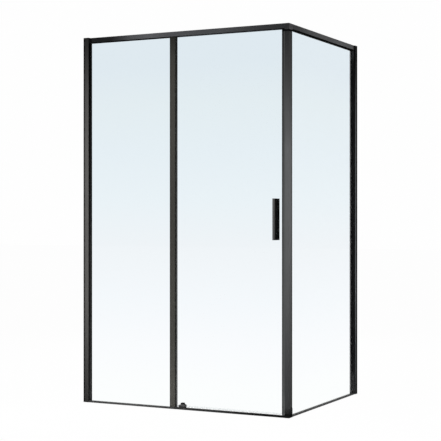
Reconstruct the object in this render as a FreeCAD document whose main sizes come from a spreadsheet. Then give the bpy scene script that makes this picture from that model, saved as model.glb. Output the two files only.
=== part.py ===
import FreeCAD, Part
import math
import os
import re
import Sketcher

# Corner shower enclosure: a fixed front pane, a sliding door behind it and a fixed side pane.
# The front looks along -Y, the side pane closes +X, the walls stand at -X and +Y.
doc = FreeCAD.newDocument("shower_enclosure")
sheet = doc.addObject("Spreadsheet::Sheet", "Sizes")

# Driving sizes in millimetres, one row each.
SIZES = (
    # Whole enclosure, over the profiles.
    ("width", 1200),
    ("depth", 955),
    ("height", 1950),
    ("fixed_width", 523),
    # Wall profiles: channels screwed to the walls.
    ("channel_face", 32),
    ("channel_box", 10),
    ("channel_inner_box", 14.4),
    ("channel_wall", 1.8),
    ("channel_web", 2.5),
    ("cap_thick", 3),
    ("cap_plug", 8),
    ("wall_hole_radius", 2.5),
    ("wall_hole_first", 150),
    # Frames that telescope in the wall profiles, and the mid post of the same depth.
    ("frame_deep", 12),
    ("frame_wall", 1.7),
    ("frame_hidden", 16),
    ("frame_reveal", 5),
    ("slide_gap", 0.3),
    ("mid_post_width", 30),
    ("mid_plug_long", 12),
    ("mid_plug_reach", 15),
    ("arris", 0.8),
    # Glass and its gaskets.
    ("glass", 6),
    ("glass_bite", 12),
    ("glass_arris", 0.5),
    ("gasket", 1.3),
    ("gasket_lip", 4.5),
    ("side_gasket_lip", 7.5),
    ("block_thick", 0.8),
    ("block_long", 60),
    # Top rails.
    ("rail_height", 24.5),
    ("rail_depth", 43),
    ("rail_wall", 1.8),
    ("rail_web", 1.6),
    ("rail_channel", 15),
    ("side_rail_back", 3),
    ("ledge_thick", 2.2),
    ("ledge_wide", 6.3),
    ("bead_wide", 1.6),
    ("bead_high", 1),
    # Bottom rails and door threshold.
    ("front_sill", 9),
    ("side_sill", 8),
    ("front_sill_inset", 2),
    ("side_sill_inset", 3.5),
    ("sill_floor", 1.2),
    ("sill_lip", 1),
    ("threshold_deep", 31),
    ("threshold_plate", 4),
    ("threshold_lip", 4),
    ("threshold_lip_high", 12),
    # Corner post with its top connector and foot.
    ("corner_width", 24),
    ("corner_inset", 1.5),
    ("post_wall", 1.8),
    ("foot_high", 45),
    ("foot_floor", 3),
    ("foot_plug", 20),
    ("connector_reach", 25),
    ("spigot", 15),
    ("block_skirt", 5.5),
    ("block_neck", 10),
    ("neck_inset", 1),
    ("collar_long", 20),
    ("connector_leg", 20),
    ("connector_leg_wide", 12),
    # Closing jamb on the corner post.
    ("strike_width", 14),
    ("strike_inset", 3),
    ("strike_wall", 1.6),
    ("strike_gap", 0.7),
    ("strike_magnet_thick", 4),
    ("strike_screw_radius", 1.5),
    ("strike_head_radius", 2.6),
    ("strike_head_high", 1.2),
    ("strike_screw_long", 8),
    ("strike_screw_first", 200),
    # Screws of the frame and rails.
    ("screw_radius", 2),
    ("screw_head_radius", 3.6),
    ("screw_head_high", 1.6),
    ("socket_radius", 1.7),
    ("socket_deep", 1),
    ("frame_screw_long", 17.4),
    ("frame_screw_inset", 16),
    ("frame_screw_first", 250),
    ("screw_cap_radius", 6),
    ("screw_cap_high", 4),
    ("screw_cap_wall", 1.2),
    ("connector_screw_long", 6),
    ("connector_screw_in", 12),
    # Sliding door and its top hanger.
    ("door_gap", 2.5),
    ("door_overlap", 11),
    ("door_shy", 3),
    ("hanger_wall", 1.6),
    ("hanger_bond", 0.3),
    ("hanger_lift", 1),
    ("hanger_skirt", 10.5),
    ("hanger_bar", 7),
    ("hanger_shy", 2),
    # Trolleys and rollers.
    ("trolley_inset", 110),
    ("trolley_long", 60),
    ("trolley_thick", 1.5),
    ("trolley_lift", 2.6),
    ("trolley_screw_spread", 6),
    ("trolley_screw_long", 8),
    ("roller_radius", 9),
    ("roller_wide", 4.6),
    ("roller_spread", 20),
    ("roller_shoulder", 1),
    ("roller_play", 0.2),
    ("roller_run", 0.1),
    ("groove_wide", 2.2),
    ("groove_deep", 1.4),
    ("bearing_radius", 5),
    ("bearing_wide", 4),
    ("bearing_play", 0.05),
    ("pin_radius", 2),
    ("pin_shoulder_radius", 2.9),
    ("pin_head_radius", 3.5),
    ("pin_head_high", 0.8),
    # Rubber stops in the rail; travel is the door's free slide.
    ("travel", 475),
    ("stop_long", 12),
    ("stop_gap", 0.3),
    ("stop_high", 10.7),
    ("stop_deep", 8),
    ("stop_screw_radius", 1.5),
    ("stop_head_radius", 2.8),
    ("stop_head_high", 2),
    # Door seals.
    ("seal_leg", 1.2),
    ("seal_bite", 8),
    ("seal_floor", 1.2),
    ("lip_gap", 0.4),
    ("lip_high", 5.5),
    ("lip_wide", 1.6),
    ("edge_seal_bite", 15.5),
    ("edge_seal_drop", 5),
    ("edge_seal_floor", 4),
    ("fin_thick", 1.4),
    ("fin_gap", 0.3),
    ("nose_long", 9.6),
    ("nose_wall", 1.2),
    ("magnet_long", 4),
    # Handle: a bar on each face of the door, joined through the glass.
    ("handle_high", 207),
    ("handle_wide", 15.5),
    ("handle_outer_deep", 23.5),
    ("handle_inner_deep", 27.5),
    ("handle_round", 1.5),
    ("handle_middle", 979.5),
    ("handle_inset", 42.8),
    ("handle_spread", 70),
    ("handle_pad", 0.8),
    ("stud_radius", 3),
    ("stud_bite", 12),
    ("bush_radius", 6),
    # Bottom guide beside the mid post.
    ("guide_offset", 21.5),
    ("guide_long", 32),
    ("guide_deep", 32),
    ("guide_shoulder", 15),
    ("guide_crown", 23),
    ("guide_floor", 1.5),
    ("guide_bridge", 2.5),
    ("guide_front", 9),
    ("guide_step", 11.3),
    ("guide_play", 0.5),
    ("pad_wide", 17),
    ("pad_seat", 19.5),
    ("pad_top", 32),
    ("pad_deep", 6.4),
    ("pad_gap", 0.4),
    ("pad_play", 0.1),
    ("guide_screw_spread", 11.5),
    ("guide_screw_line", 5),
    ("guide_counterbore", 9),
    # One length by which every cut runs past the surface it opens.
    ("overrun", 2),
)

for row, (alias, value) in enumerate(SIZES, 1):
    sheet.set(f"A{row}", alias)
    sheet.set(f"B{row}", str(value))
    sheet.setAlias(f"B{row}", alias)
doc.recompute()
ALIASES = {alias for alias, value in SIZES}

# Lines and levels that several pieces share. "in" counts from the front face towards the back, or
# from the side face inwards; "along" counts from the left wall; heights count from the floor.
LINES = {
    "left": "-width / 2",
    "right": "width / 2",
    "front": "-depth / 2",
    "rear": "depth / 2",
    "profile_top": "height - cap_thick",
    "rail_bottom": "profile_top - rail_height",
    "rail_inner": "rail_height - rail_wall",
    "wall_hole_pitch": "(height - 2 * wall_hole_first) / 3",
    "frame_screw_pitch": "(height - 2 * frame_screw_first) / 2",
    "strike_screw_pitch": "(height - 2 * strike_screw_first) / 2",
    "cavity_end": "channel_box + frame_deep + 2 * slide_gap",
    "channel_deep": "cavity_end + channel_inner_box",
    "frame_in": "channel_box + slide_gap",
    "pocket_in": "frame_in + frame_wall",
    "pocket_wide": "glass + 2 * gasket",
    "pocket_deep": "glass_bite + gasket",
    "glass_in": "pocket_in + gasket",
    "pocket_end": "pocket_in + pocket_wide",
    "frame_long": "frame_hidden + pocket_deep",
    "frame_left": "channel_face + frame_reveal - frame_long",
    "frame_end": "frame_left + frame_long",
    "fixed_left": "frame_end - glass_bite",
    "fixed_right": "fixed_width + glass_bite",
    "mid_post_end": "fixed_width + mid_post_width",
    "fixed_top": "rail_bottom + rail_channel - gasket",
    "track_in": "pocket_end + rail_web",
    "door_in": "frame_in + frame_deep + door_gap",
    "door_back": "door_in + glass",
    "rail_start": "channel_face + collar_long",
    "post_left": "width - corner_width",
    "post_top": "rail_bottom - block_skirt - block_neck",
    "strike_left": "post_left - strike_width",
    "door_left": "mid_post_end - door_overlap",
    "door_right": "strike_left - door_shy",
    "hanger_bottom": "rail_bottom + hanger_lift",
    "hanger_in": "door_in - hanger_bond - hanger_wall",
    "hanger_deep": "glass + 2 * (hanger_bond + hanger_wall)",
    "hanger_back": "hanger_in + hanger_deep",
    "door_top": "hanger_bottom + hanger_skirt - hanger_bond",
    "door_bottom": "threshold_plate + lip_gap + lip_high + seal_floor",
    "trolley_back": "hanger_back + trolley_thick",
    "roller_in": "trolley_back + roller_shoulder",
    "roller_middle": "roller_in + roller_wide / 2",
    "roller_level": "rail_bottom + ledge_thick + roller_run + roller_radius",
    "trolley_screw_level": "hanger_bottom + hanger_skirt + hanger_bar / 2",
    "left_trolley": "door_left + trolley_inset",
    "right_trolley": "door_right - trolley_inset",
    "strike_pocket": "door_in - seal_leg - strike_gap - strike_inset",
    "strike_pocket_wide": "glass + 2 * (seal_leg + strike_gap)",
    "strike_deep": "strike_pocket + strike_pocket_wide + strike_wall",
    "strike_screw_in": "strike_inset + strike_pocket + strike_head_radius + slide_gap",
    "post_wide": "corner_width - corner_inset",
    "post_deep": "rail_depth - corner_inset",
    "post_pocket_near": "corner_width - pocket_end",
    "post_pocket_far": "corner_width - pocket_in",
    "guide_left": "mid_post_end + guide_offset",
    "guide_middle": "guide_left + guide_long / 2",
    "slot_in": "door_in - seal_leg - guide_play",
    "slot_wide": "glass + 2 * (seal_leg + guide_play)",
    "handle_along": "door_right - handle_inset",
    "threshold_end": "front_sill_inset + threshold_deep",
}


def formula(text):
    """Write a formula in plain names as an expression on the sheet."""
    def word(match):
        name = match.group(0)
        if name in LINES:
            return "(" + formula(LINES[name]) + ")"
        if name in ALIASES:
            return "Sizes." + name
        return name
    return re.sub(r"[a-z_]+", word, text)


# How a piece's own axes lie in the enclosure: the last axis is the one it is extruded along.
UPRIGHT = FreeCAD.Rotation()
TURNED = FreeCAD.Rotation(FreeCAD.Vector(0, 0, 1), 180)
TO_RIGHT = FreeCAD.Rotation(FreeCAD.Vector(0, 1, 0), FreeCAD.Vector(0, 0, 1), FreeCAD.Vector(1, 0, 0))
TO_BACK = FreeCAD.Rotation(FreeCAD.Vector(-1, 0, 0), FreeCAD.Vector(0, 0, 1), FreeCAD.Vector(0, 1, 0))
TO_LEFT = FreeCAD.Rotation(FreeCAD.Vector(0, 1, 0), FreeCAD.Vector(0, 0, -1), FreeCAD.Vector(-1, 0, 0))
TO_FRONT = FreeCAD.Rotation(FreeCAD.Vector(1, 0, 0), FreeCAD.Vector(0, 0, 1), FreeCAD.Vector(0, -1, 0))

pieces = []


def bind(thing, field, text):
    """Tie one size of an object to the sheet."""
    thing.setExpression(field, formula(text))


def place(thing, x="0", y="0", z="0", turn=UPRIGHT):
    """Put an object at named lines, turned as it lies."""
    thing.Placement = FreeCAD.Placement(FreeCAD.Vector(), turn)
    for axis, text in zip("xyz", (x, y, z)):
        bind(thing, f"Placement.Base.{axis}", text)


def piece(label, thing):
    """Name a finished sub-part; its label is also its file's name."""
    thing.Label = label
    pieces.append(thing)
    return thing


def body_at(label, x, y, z, turn=UPRIGHT):
    """Start a sub-part that is built from sketches."""
    body = doc.addObject("PartDesign::Body", label)
    place(body, x, y, z, turn)
    return piece(label, body)


def sketch_on(body, role, offset="0"):
    """Add a sketch on one of the body's own planes, moved along that plane's normal."""
    sketch = body.newObject("Sketcher::SketchObject", body.Name + "_sketch")
    support = next(item for item in body.Origin.OriginFeatures if item.Role == role)
    sketch.AttachmentSupport = (support, [""])
    sketch.MapMode = "FlatFace"
    bind(sketch, "AttachmentOffset.Base.z", offset)
    return sketch


def dimension(sketch, kind, geometry, point, text):
    """Dimension one sketch point from the sketch's origin."""
    index = sketch.addConstraint(Sketcher.Constraint(kind, -1, 1, geometry, point, 1.0))
    bind(sketch, f"Constraints[{index}]", text)


def draw_loop(sketch, points):
    """Draw a closed loop of straight lines through points given as pairs of formulas."""
    first = sketch.GeometryCount
    count = len(points)
    turns = [2 * math.pi * number / count for number in range(count)]
    corners = [FreeCAD.Vector(math.cos(turn), math.sin(turn), 0) for turn in turns]
    for number in range(count):
        sketch.addGeometry(Part.LineSegment(corners[number], corners[(number + 1) % count]))
    for number, (across, up) in enumerate(points):
        follower = first + (number + 1) % count
        sketch.addConstraint(Sketcher.Constraint("Coincident", first + number, 2, follower, 1))
        dimension(sketch, "DistanceX", first + number, 1, across)
        dimension(sketch, "DistanceY", first + number, 1, up)


def box_loop(left, low, right, high):
    """Corner points of a rectangle."""
    return [(left, low), (right, low), (right, high), (left, high)]


def draw_circle(sketch, across, up, radius):
    """Draw a circle dimensioned by its centre and radius."""
    circle = Part.Circle(FreeCAD.Vector(1, 1, 0), FreeCAD.Vector(0, 0, 1), 1)
    index = sketch.addGeometry(circle)
    size = sketch.addConstraint(Sketcher.Constraint("Radius", index, 1.0))
    bind(sketch, f"Constraints[{size}]", radius)
    dimension(sketch, "DistanceX", index, 3, across)
    dimension(sketch, "DistanceY", index, 3, up)


def extrude(body, sketch, length, kind="PartDesign::Pad", backwards=False):
    """Pad or pocket a sketch by a named length."""
    feature = body.newObject(kind, body.Name + "_" + kind.split("::")[1].lower())
    feature.Profile = sketch
    bind(feature, "Length", length)
    feature.Reversed = backwards
    return feature


def pad_loops(body, loops, length, role="XY_Plane", offset="0", backwards=False):
    """Pad one section given as loops: the outside first, then any chambers."""
    sketch = sketch_on(body, role, offset)
    for loop in loops:
        draw_loop(sketch, loop)
    return extrude(body, sketch, length, backwards=backwards)


def cut_loop(body, loop, length, role, offset="0", backwards=False):
    """Pocket one outline out of a body, and check that it cut something."""
    sketch = sketch_on(body, role, offset)
    draw_loop(sketch, loop)
    return checked_cut(body, sketch, length, backwards)


def cut_circles(body, centres, radius, length, role, offset="0", backwards=False):
    """Pocket round holes of one radius out of a body."""
    sketch = sketch_on(body, role, offset)
    for across, up in centres:
        draw_circle(sketch, across, up, radius)
    return checked_cut(body, sketch, length, backwards)


def checked_cut(body, sketch, length, backwards):
    """Make the pocket and compare the volume before and after."""
    doc.recompute()
    before = body.Shape.Volume
    feature = extrude(body, sketch, length, "PartDesign::Pocket", backwards)
    doc.recompute()
    if not body.Shape.Volume < before:
        raise RuntimeError(f"{body.Label}: a pocket cut nothing")
    return feature


def upright_edges(feature, corners):
    """Names of the edges that rise from given corners of the first loop of a padded section."""
    doc.recompute()
    sketch = feature.Profile[0]
    wanted = [sketch.Geometry[corner].StartPoint for corner in corners]
    names = []
    for number, edge in enumerate(feature.Shape.Edges, 1):
        ends = [vertex.Point for vertex in edge.Vertexes]
        for spot in wanted:
            off = [math.hypot(end.x - spot.x, end.y - spot.y) for end in ends]
            if len(ends) == 2 and max(off) < Part.Precision.confusion():
                names.append(f"Edge{number}")
    return names


def round_corners(body, feature, corners, radius="arris"):
    """Round the long edges of an extrusion at the given corners of its outline."""
    names = upright_edges(feature, corners)
    fillet = body.newObject("PartDesign::Fillet", body.Name + "_round")
    fillet.Base = (feature, names)
    bind(fillet, "Radius", radius)
    return fillet


def swap(loop):
    """Exchange the two axes of a loop, for the same section seen from the other wall."""
    return [(up, across) for across, up in reversed(loop)]


def cylinder(name, radius, length, base="0"):
    """A plain cylinder along its own axis, from a named level up."""
    thing = doc.addObject("Part::Cylinder", name)
    bind(thing, "Radius", radius)
    bind(thing, "Height", length)
    bind(thing, "Placement.Base.z", base)
    return thing


def combine(kind, name, base, tool):
    """Join two shapes or cut one from the other."""
    thing = doc.addObject(kind, name)
    thing.Base = base
    thing.Tool = tool
    return thing


def screw(name, spot, turn, radius, length, head_radius, head_high):
    """A screw with a hexagon socket: its head starts at the spot and the shank runs back."""
    shank = cylinder(name + "_shank", radius, length, "-(" + length + ")")
    head = cylinder(name + "_head", head_radius, head_high)
    blank = combine("Part::Fuse", name + "_blank", head, shank)
    socket = doc.addObject("Part::Prism", name + "_socket")
    socket.Polygon = 6
    bind(socket, "Circumradius", "socket_radius")
    bind(socket, "Height", "socket_deep")
    bind(socket, "Placement.Base.z", head_high + " - socket_deep")
    finished = combine("Part::Cut", name, blank, socket)
    place(finished, *spot, turn)
    return finished


def group(label, things):
    """Identical pieces that share one node, each still its own solid."""
    thing = doc.addObject("Part::Compound", label)
    thing.Links = things
    return piece(label, thing)


# Wall profiles: a channel that takes the telescoping frame, between two hollow boxes.
# The section is drawn as distance from the wall, then distance in from the outer face.
CHANNEL = [("0", "0"), ("channel_face", "0"), ("channel_face", "channel_box"),
           ("channel_web", "channel_box"), ("channel_web", "cavity_end"),
           ("channel_face", "cavity_end"), ("channel_face", "channel_deep"), ("0", "channel_deep")]
CHANNEL_BOX = box_loop("channel_wall", "channel_wall",
                       "channel_face - channel_wall", "channel_box - channel_wall")
INNER_BOX = box_loop("channel_wall", "cavity_end + channel_wall",
                     "channel_face - channel_wall", "channel_deep - channel_wall")
WALL_HOLES = ["wall_hole_first + %d * wall_hole_pitch" % number for number in range(4)]
FRAME_SCREWS = ["frame_screw_first + %d * frame_screw_pitch" % number for number in range(3)]
HOLE_IN = "frame_in + frame_deep / 2"

channel = body_at("wall_profile_left", "left", "front", "0")
extrusion = pad_loops(channel, [CHANNEL, CHANNEL_BOX, INNER_BOX], "profile_top")
round_corners(channel, extrusion, (1, 2, 6))
cut_circles(channel, [(HOLE_IN, level) for level in WALL_HOLES], "wall_hole_radius",
            "channel_web + overrun", "YZ_Plane", "-overrun", backwards=True)
cut_circles(channel, [("frame_screw_inset", level) for level in FRAME_SCREWS], "screw_radius",
            "channel_inner_box + overrun", "XZ_Plane", "-cavity_end + overrun / 2")

channel = body_at("wall_profile_rear", "right", "rear", "0", TURNED)
extrusion = pad_loops(channel, [swap(loop) for loop in (CHANNEL, CHANNEL_BOX, INNER_BOX)], "profile_top")
round_corners(channel, extrusion, (1, 5, 6))
cut_circles(channel, [(HOLE_IN, level) for level in WALL_HOLES], "wall_hole_radius",
            "channel_web + overrun", "XZ_Plane", "overrun")
cut_circles(channel, [("frame_screw_inset", level) for level in FRAME_SCREWS], "screw_radius",
            "channel_inner_box + overrun", "YZ_Plane", "cavity_end - overrun / 2", backwards=True)

# Moulded caps close the wall profiles; each has a plug down into both hollow boxes.
CAP = box_loop("0", "0", "channel_face", "channel_deep")
CAP_PLUG = box_loop("channel_wall + slide_gap", "channel_wall + slide_gap",
                    "channel_face - channel_wall - slide_gap",
                    "channel_box - channel_wall - slide_gap")
INNER_PLUG = box_loop("channel_wall + slide_gap", "cavity_end + channel_wall + slide_gap",
                      "channel_face - channel_wall - slide_gap",
                      "channel_deep - channel_wall - slide_gap")
for label, x, y, turn, face in (("wall_profile_cap_left", "left", "front", UPRIGHT, list),
                                ("wall_profile_cap_rear", "right", "rear", TURNED, swap)):
    cap = body_at(label, x, y, "profile_top", turn)
    plate = pad_loops(cap, [face(CAP)], "cap_thick")
    round_corners(cap, plate, range(4))
    pad_loops(cap, [face(CAP_PLUG), face(INNER_PLUG)], "cap_plug", backwards=True)

# Telescoping frames: a hollow back inside the channel and a pocket that holds the glass edge.
FRAME = [("0", "0"), ("frame_long", "0"), ("frame_long", "frame_wall"),
         ("frame_hidden", "frame_wall"), ("frame_hidden", "frame_wall + pocket_wide"),
         ("frame_long", "frame_wall + pocket_wide"), ("frame_long", "frame_deep"), ("0", "frame_deep")]
FRAME_BOX = box_loop("frame_wall", "frame_wall", "frame_hidden - frame_wall", "frame_deep - frame_wall")

frame = body_at("inner_frame_left", "left + frame_left", "front + frame_in", "front_sill")
extrusion = pad_loops(frame, [FRAME, FRAME_BOX], "rail_bottom - front_sill")
round_corners(frame, extrusion, (1, 6))
cut_circles(frame, [("frame_screw_inset - frame_left", level + " - front_sill")
                    for level in FRAME_SCREWS], "screw_radius",
            "frame_wall + overrun", "XZ_Plane", "-frame_wall - pocket_wide + overrun / 2")

frame = body_at("inner_frame_rear", "right - frame_in", "rear - frame_left", "side_sill", TURNED)
extrusion = pad_loops(frame, [swap(FRAME), swap(FRAME_BOX)], "rail_bottom - side_sill")
round_corners(frame, extrusion, (1, 6))
cut_circles(frame, [("frame_screw_inset - frame_left", level + " - side_sill")
                    for level in FRAME_SCREWS], "screw_radius",
            "frame_wall + overrun", "YZ_Plane", "frame_wall + pocket_wide - overrun / 2",
            backwards=True)

# Screws that lock the frames in the wall profiles, on the inside of the shower, with round caps.
screws = []
caps = []
for number, level in enumerate(FRAME_SCREWS, 1):
    for side, spot, turn in (
            ("left", ("left + frame_screw_inset", "front + channel_deep", level), TO_BACK),
            ("rear", ("right - channel_deep", "rear - frame_screw_inset", level), TO_LEFT)):
        name = f"frame_screw_{side}_{number}"
        screws.append(screw(name, spot, turn, "screw_radius", "frame_screw_long",
                            "screw_head_radius", "screw_head_high"))
        shell = cylinder(name + "_shell", "screw_cap_radius", "screw_cap_high")
        edge = doc.addObject("Part::Chamfer", name + "_edge")
        edge.Base = shell
        doc.recompute()
        rim = next(index for index, curve in enumerate(shell.Shape.Edges, 1)
                   if curve.BoundBox.ZMin > shell.Shape.BoundBox.Center.z)
        bevel = sheet.get("screw_cap_wall") - sheet.get("slide_gap")
        edge.Edges = [(rim, bevel, bevel)]
        hollow = cylinder(name + "_hollow", "screw_cap_radius - screw_cap_wall",
                          "screw_head_high + slide_gap")
        cap = combine("Part::Cut", name + "_cap", edge, hollow)
        place(cap, *spot, turn)
        caps.append(cap)
group("frame_screws", screws)
group("frame_screw_caps", caps)

# Front top rail: a hollow nose, the fixed pane's channel, and a track with a raised bead.
# Sections of rails are drawn as distance in from the face, then height above the rail's bottom.
bead_in = "roller_middle - bead_wide / 2"
bead_out = "roller_middle + bead_wide / 2"
ledge_in = "rail_depth - rail_wall - ledge_wide"
bead_top = "ledge_thick + bead_high"
FRONT_RAIL = [("0", "0"), ("pocket_in", "0"), ("pocket_in", "rail_channel"),
              ("pocket_end", "rail_channel"), ("pocket_end", "0"), ("track_in", "0"),
              ("track_in", "rail_inner"), ("rail_depth - rail_wall", "rail_inner"),
              ("rail_depth - rail_wall", "ledge_thick"), (bead_out, "ledge_thick"),
              (bead_out, bead_top), (bead_in, bead_top), (bead_in, "ledge_thick"),
              (ledge_in, "ledge_thick"), (ledge_in, "0"), ("rail_depth", "0"),
              ("rail_depth", "rail_height"), ("0", "rail_height")]
RAIL_NOSE = box_loop("rail_wall", "rail_web", "pocket_in - rail_web", "rail_inner")
RAIL_LOFT = box_loop("pocket_in", "rail_channel + rail_web", "pocket_end", "rail_inner")
LOFT_IN = "pocket_in + pocket_wide / 2"
SCREW_BORE = ("screw_radius", "rail_wall + overrun")

rail = body_at("front_top_rail", "left + rail_start", "front", "rail_bottom", TO_RIGHT)
extrusion = pad_loops(rail, [FRONT_RAIL, RAIL_NOSE, RAIL_LOFT], "post_left - rail_start")
round_corners(rail, extrusion, (0, 15, 16, 17))
cut_circles(rail, [(LOFT_IN, "connector_screw_in"),
                   (LOFT_IN, "post_left - rail_start - connector_screw_in")], *SCREW_BORE,
            "XZ_Plane", "-rail_height - overrun", backwards=True)
STOP_IN = "hanger_back + slide_gap + stop_deep / 2"
STOPS = ("left_trolley - trolley_long / 2 - travel - stop_gap - stop_long",
         "right_trolley + trolley_long / 2 + stop_gap")
cut_circles(rail, [(STOP_IN, stop + " + stop_long / 2 - rail_start") for stop in STOPS],
            "stop_screw_radius", "rail_wall / 2 + overrun", "XZ_Plane", "-rail_inner + overrun")

# Side top rail: the same nose and pane channel with a plain back.
SIDE_RAIL = [("0", "0"), ("pocket_in", "0"), ("pocket_in", "rail_channel"),
             ("pocket_end", "rail_channel"), ("pocket_end", "0"),
             ("pocket_end + side_rail_back", "0"), ("pocket_end + side_rail_back", "rail_height"),
             ("0", "rail_height")]
rail = body_at("side_top_rail", "right", "front + rail_depth", "rail_bottom", TO_BACK)
extrusion = pad_loops(rail, [SIDE_RAIL, RAIL_NOSE, RAIL_LOFT], "depth - rail_depth - rail_start")
round_corners(rail, extrusion, (0, 5, 6, 7))
cut_circles(rail, [(LOFT_IN, "connector_screw_in"),
                   (LOFT_IN, "depth - rail_depth - rail_start - connector_screw_in")],
            *SCREW_BORE, "XZ_Plane", "-rail_height - overrun", backwards=True)

# Bottom rails: low strips with a shallow groove in which the panes stand on thin blocks.
groove_in = "glass_in - slide_gap"
groove_end = "glass_in + glass + slide_gap"


def sill_section(inset, rise):
    """Section of a bottom rail of a given height."""
    back = "glass_in + glass + slide_gap + sill_lip"
    return [(inset, "0"), (back, "0"), (back, rise), (groove_end, rise),
            (groove_end, "sill_floor"), (groove_in, "sill_floor"), (groove_in, rise), (inset, rise)]


sill = body_at("front_bottom_rail", "left + channel_face", "front", "0", TO_RIGHT)
extrusion = pad_loops(sill, [sill_section("front_sill_inset", "front_sill")],
                      "mid_post_end - channel_face")
round_corners(sill, extrusion, (7,))
sill = body_at("side_bottom_rail", "right", "front + rail_depth", "0", TO_BACK)
extrusion = pad_loops(sill, [sill_section("side_sill_inset", "side_sill")],
                      "depth - rail_depth - channel_face")
round_corners(sill, extrusion, (7,))

# Door threshold: a thin plate that the door's wiper runs over, with a raised lip along the front,
# notched for the guide.
lip_end = "front_sill_inset + threshold_lip"
THRESHOLD = [("front_sill_inset", "0"), ("threshold_end", "0"), ("threshold_end", "threshold_plate"),
             (lip_end, "threshold_plate"), (lip_end, "threshold_lip_high"),
             ("front_sill_inset", "threshold_lip_high")]
sill = body_at("door_threshold", "left + mid_post_end", "front", "0", TO_RIGHT)
extrusion = pad_loops(sill, [THRESHOLD], "post_left - mid_post_end")
round_corners(sill, extrusion, (5,))
notch_ends = ("guide_offset - slide_gap", "guide_offset + guide_long + slide_gap")
cut_loop(sill, box_loop("guide_front - slide_gap", notch_ends[0],
                        "threshold_end + overrun", notch_ends[1]),
         "front_sill - guide_floor + overrun", "XZ_Plane", "-front_sill - overrun", backwards=True)
cut_loop(sill, box_loop("guide_front + guide_step - slide_gap", notch_ends[0],
                        "threshold_end + overrun", notch_ends[1]),
         "front_sill + 2 * overrun", "XZ_Plane", "-front_sill - overrun", backwards=True)
cut_circles(sill, [("guide_front + guide_screw_line", "guide_offset + guide_long / 2 + " + way)
                   for way in ("guide_screw_spread", "-guide_screw_spread")],
            "stop_screw_radius", "guide_floor + overrun", "XZ_Plane", "-guide_floor - overrun / 2",
            backwards=True)

# Corner post: an L-shaped chamber round the pocket of the side pane.
POST = [("0", "0"), ("post_wide", "0"), ("post_wide", "post_deep"), ("post_pocket_far", "post_deep"),
        ("post_pocket_far", "post_deep - pocket_deep"),
        ("post_pocket_near", "post_deep - pocket_deep"), ("post_pocket_near", "post_deep"),
        ("0", "post_deep")]
chamber_back = "post_deep - pocket_deep - post_wall"
POST_BOX = [("post_wall", "post_wall"), ("post_wide - post_wall", "post_wall"),
            ("post_wide - post_wall", "post_deep - post_wall"),
            ("post_pocket_far + post_wall", "post_deep - post_wall"),
            ("post_pocket_far + post_wall", chamber_back), ("post_wall", chamber_back)]
STRIKE_SCREWS = ["strike_screw_first + %d * strike_screw_pitch" % number for number in range(3)]
post = body_at("corner_post", "left + post_left", "front + corner_inset", "foot_floor")
extrusion = pad_loops(post, [POST, POST_BOX], "post_top - foot_floor")
round_corners(post, extrusion, (0, 1, 2, 7))
cut_circles(post, [("strike_screw_in - corner_inset", level + " - foot_floor")
                   for level in STRIKE_SCREWS],
            "strike_screw_radius", "post_wall + overrun", "YZ_Plane", "-overrun / 2",
            backwards=True)


def fit_box(inset):
    """The near part of the post's chamber, less a sliding fit."""
    return box_loop("post_wall + " + inset, "post_wall + " + inset,
                    "post_wide - post_wall - " + inset, chamber_back + " - " + inset)


# Moulded corner connector: a block over the rails' level, a neck that keeps it clear of the post,
# a spigot into the post and two tenons into the rails' lofts.
corner = body_at("corner_top_connector", "left + post_left", "front", "rail_bottom")
block = pad_loops(corner, [box_loop("0", "0", "corner_width", "rail_depth")],
                  "rail_height + block_skirt", offset="-block_skirt")
round_corners(corner, block, (1,))
pad_loops(corner, [box_loop("0", "corner_inset + neck_inset", "post_wide - neck_inset", "rail_depth")],
          "block_neck", offset="-block_skirt", backwards=True)
cut_loop(corner, box_loop("corner_width - pocket_end", "rail_depth - pocket_deep",
                          "corner_width - pocket_in", "rail_depth + overrun"),
         "rail_bottom - post_top + rail_channel + overrun", "XY_Plane",
         "post_top - rail_bottom - overrun", backwards=True)
spigot = sketch_on(corner, "XY_Plane", "-block_skirt")
draw_loop(spigot, [(across, up + " + corner_inset") for across, up in fit_box("slide_gap")])
extrude(corner, spigot, "block_neck + spigot", backwards=True)
TENON_LOW = "rail_channel + rail_web + roller_play"
TENON_HIGH = "rail_inner - roller_play"
pad_loops(corner, [box_loop("pocket_in + roller_play", TENON_LOW,
                            "pocket_end - roller_play", TENON_HIGH)],
          "connector_reach", "YZ_Plane", backwards=True)
pad_loops(corner, [box_loop("corner_width - pocket_end + roller_play", TENON_LOW,
                            "corner_width - pocket_in - roller_play", TENON_HIGH)],
          "connector_reach", "XZ_Plane", "-rail_depth", backwards=True)
cut_circles(corner, [("-connector_screw_in", LOFT_IN),
                     ("corner_width - pocket_in - pocket_wide / 2",
                      "rail_depth + connector_screw_in")],
            "screw_radius", "connector_screw_long - rail_wall + overrun", "XY_Plane",
            "rail_height - roller_play")

# Moulded foot: a shoe round the post's two outer faces on a floor plate, with a plug inside.
foot = body_at("corner_foot", "left + post_left", "front", "0")
plate = pad_loops(foot, [box_loop("0", "0", "corner_width", "rail_depth")], "foot_floor")
cut_loop(foot, box_loop("corner_width - glass_in - glass - slide_gap",
                        "rail_depth - pocket_deep", "corner_width - glass_in + slide_gap",
                        "rail_depth + overrun"),
         "foot_floor - sill_floor + overrun", "XY_Plane", "foot_floor + overrun")
SHOE = [("0", "0"), ("corner_width", "0"), ("corner_width", "rail_depth"),
        ("post_wide", "rail_depth"), ("post_wide", "corner_inset"), ("0", "corner_inset")]
shoe = pad_loops(foot, [SHOE], "foot_high")
round_corners(foot, shoe, (1,))
plug = sketch_on(foot, "XY_Plane", "foot_floor")
draw_loop(plug, [(across, up + " + corner_inset") for across, up in fit_box("slide_gap")])
extrude(foot, plug, "foot_plug")

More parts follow.
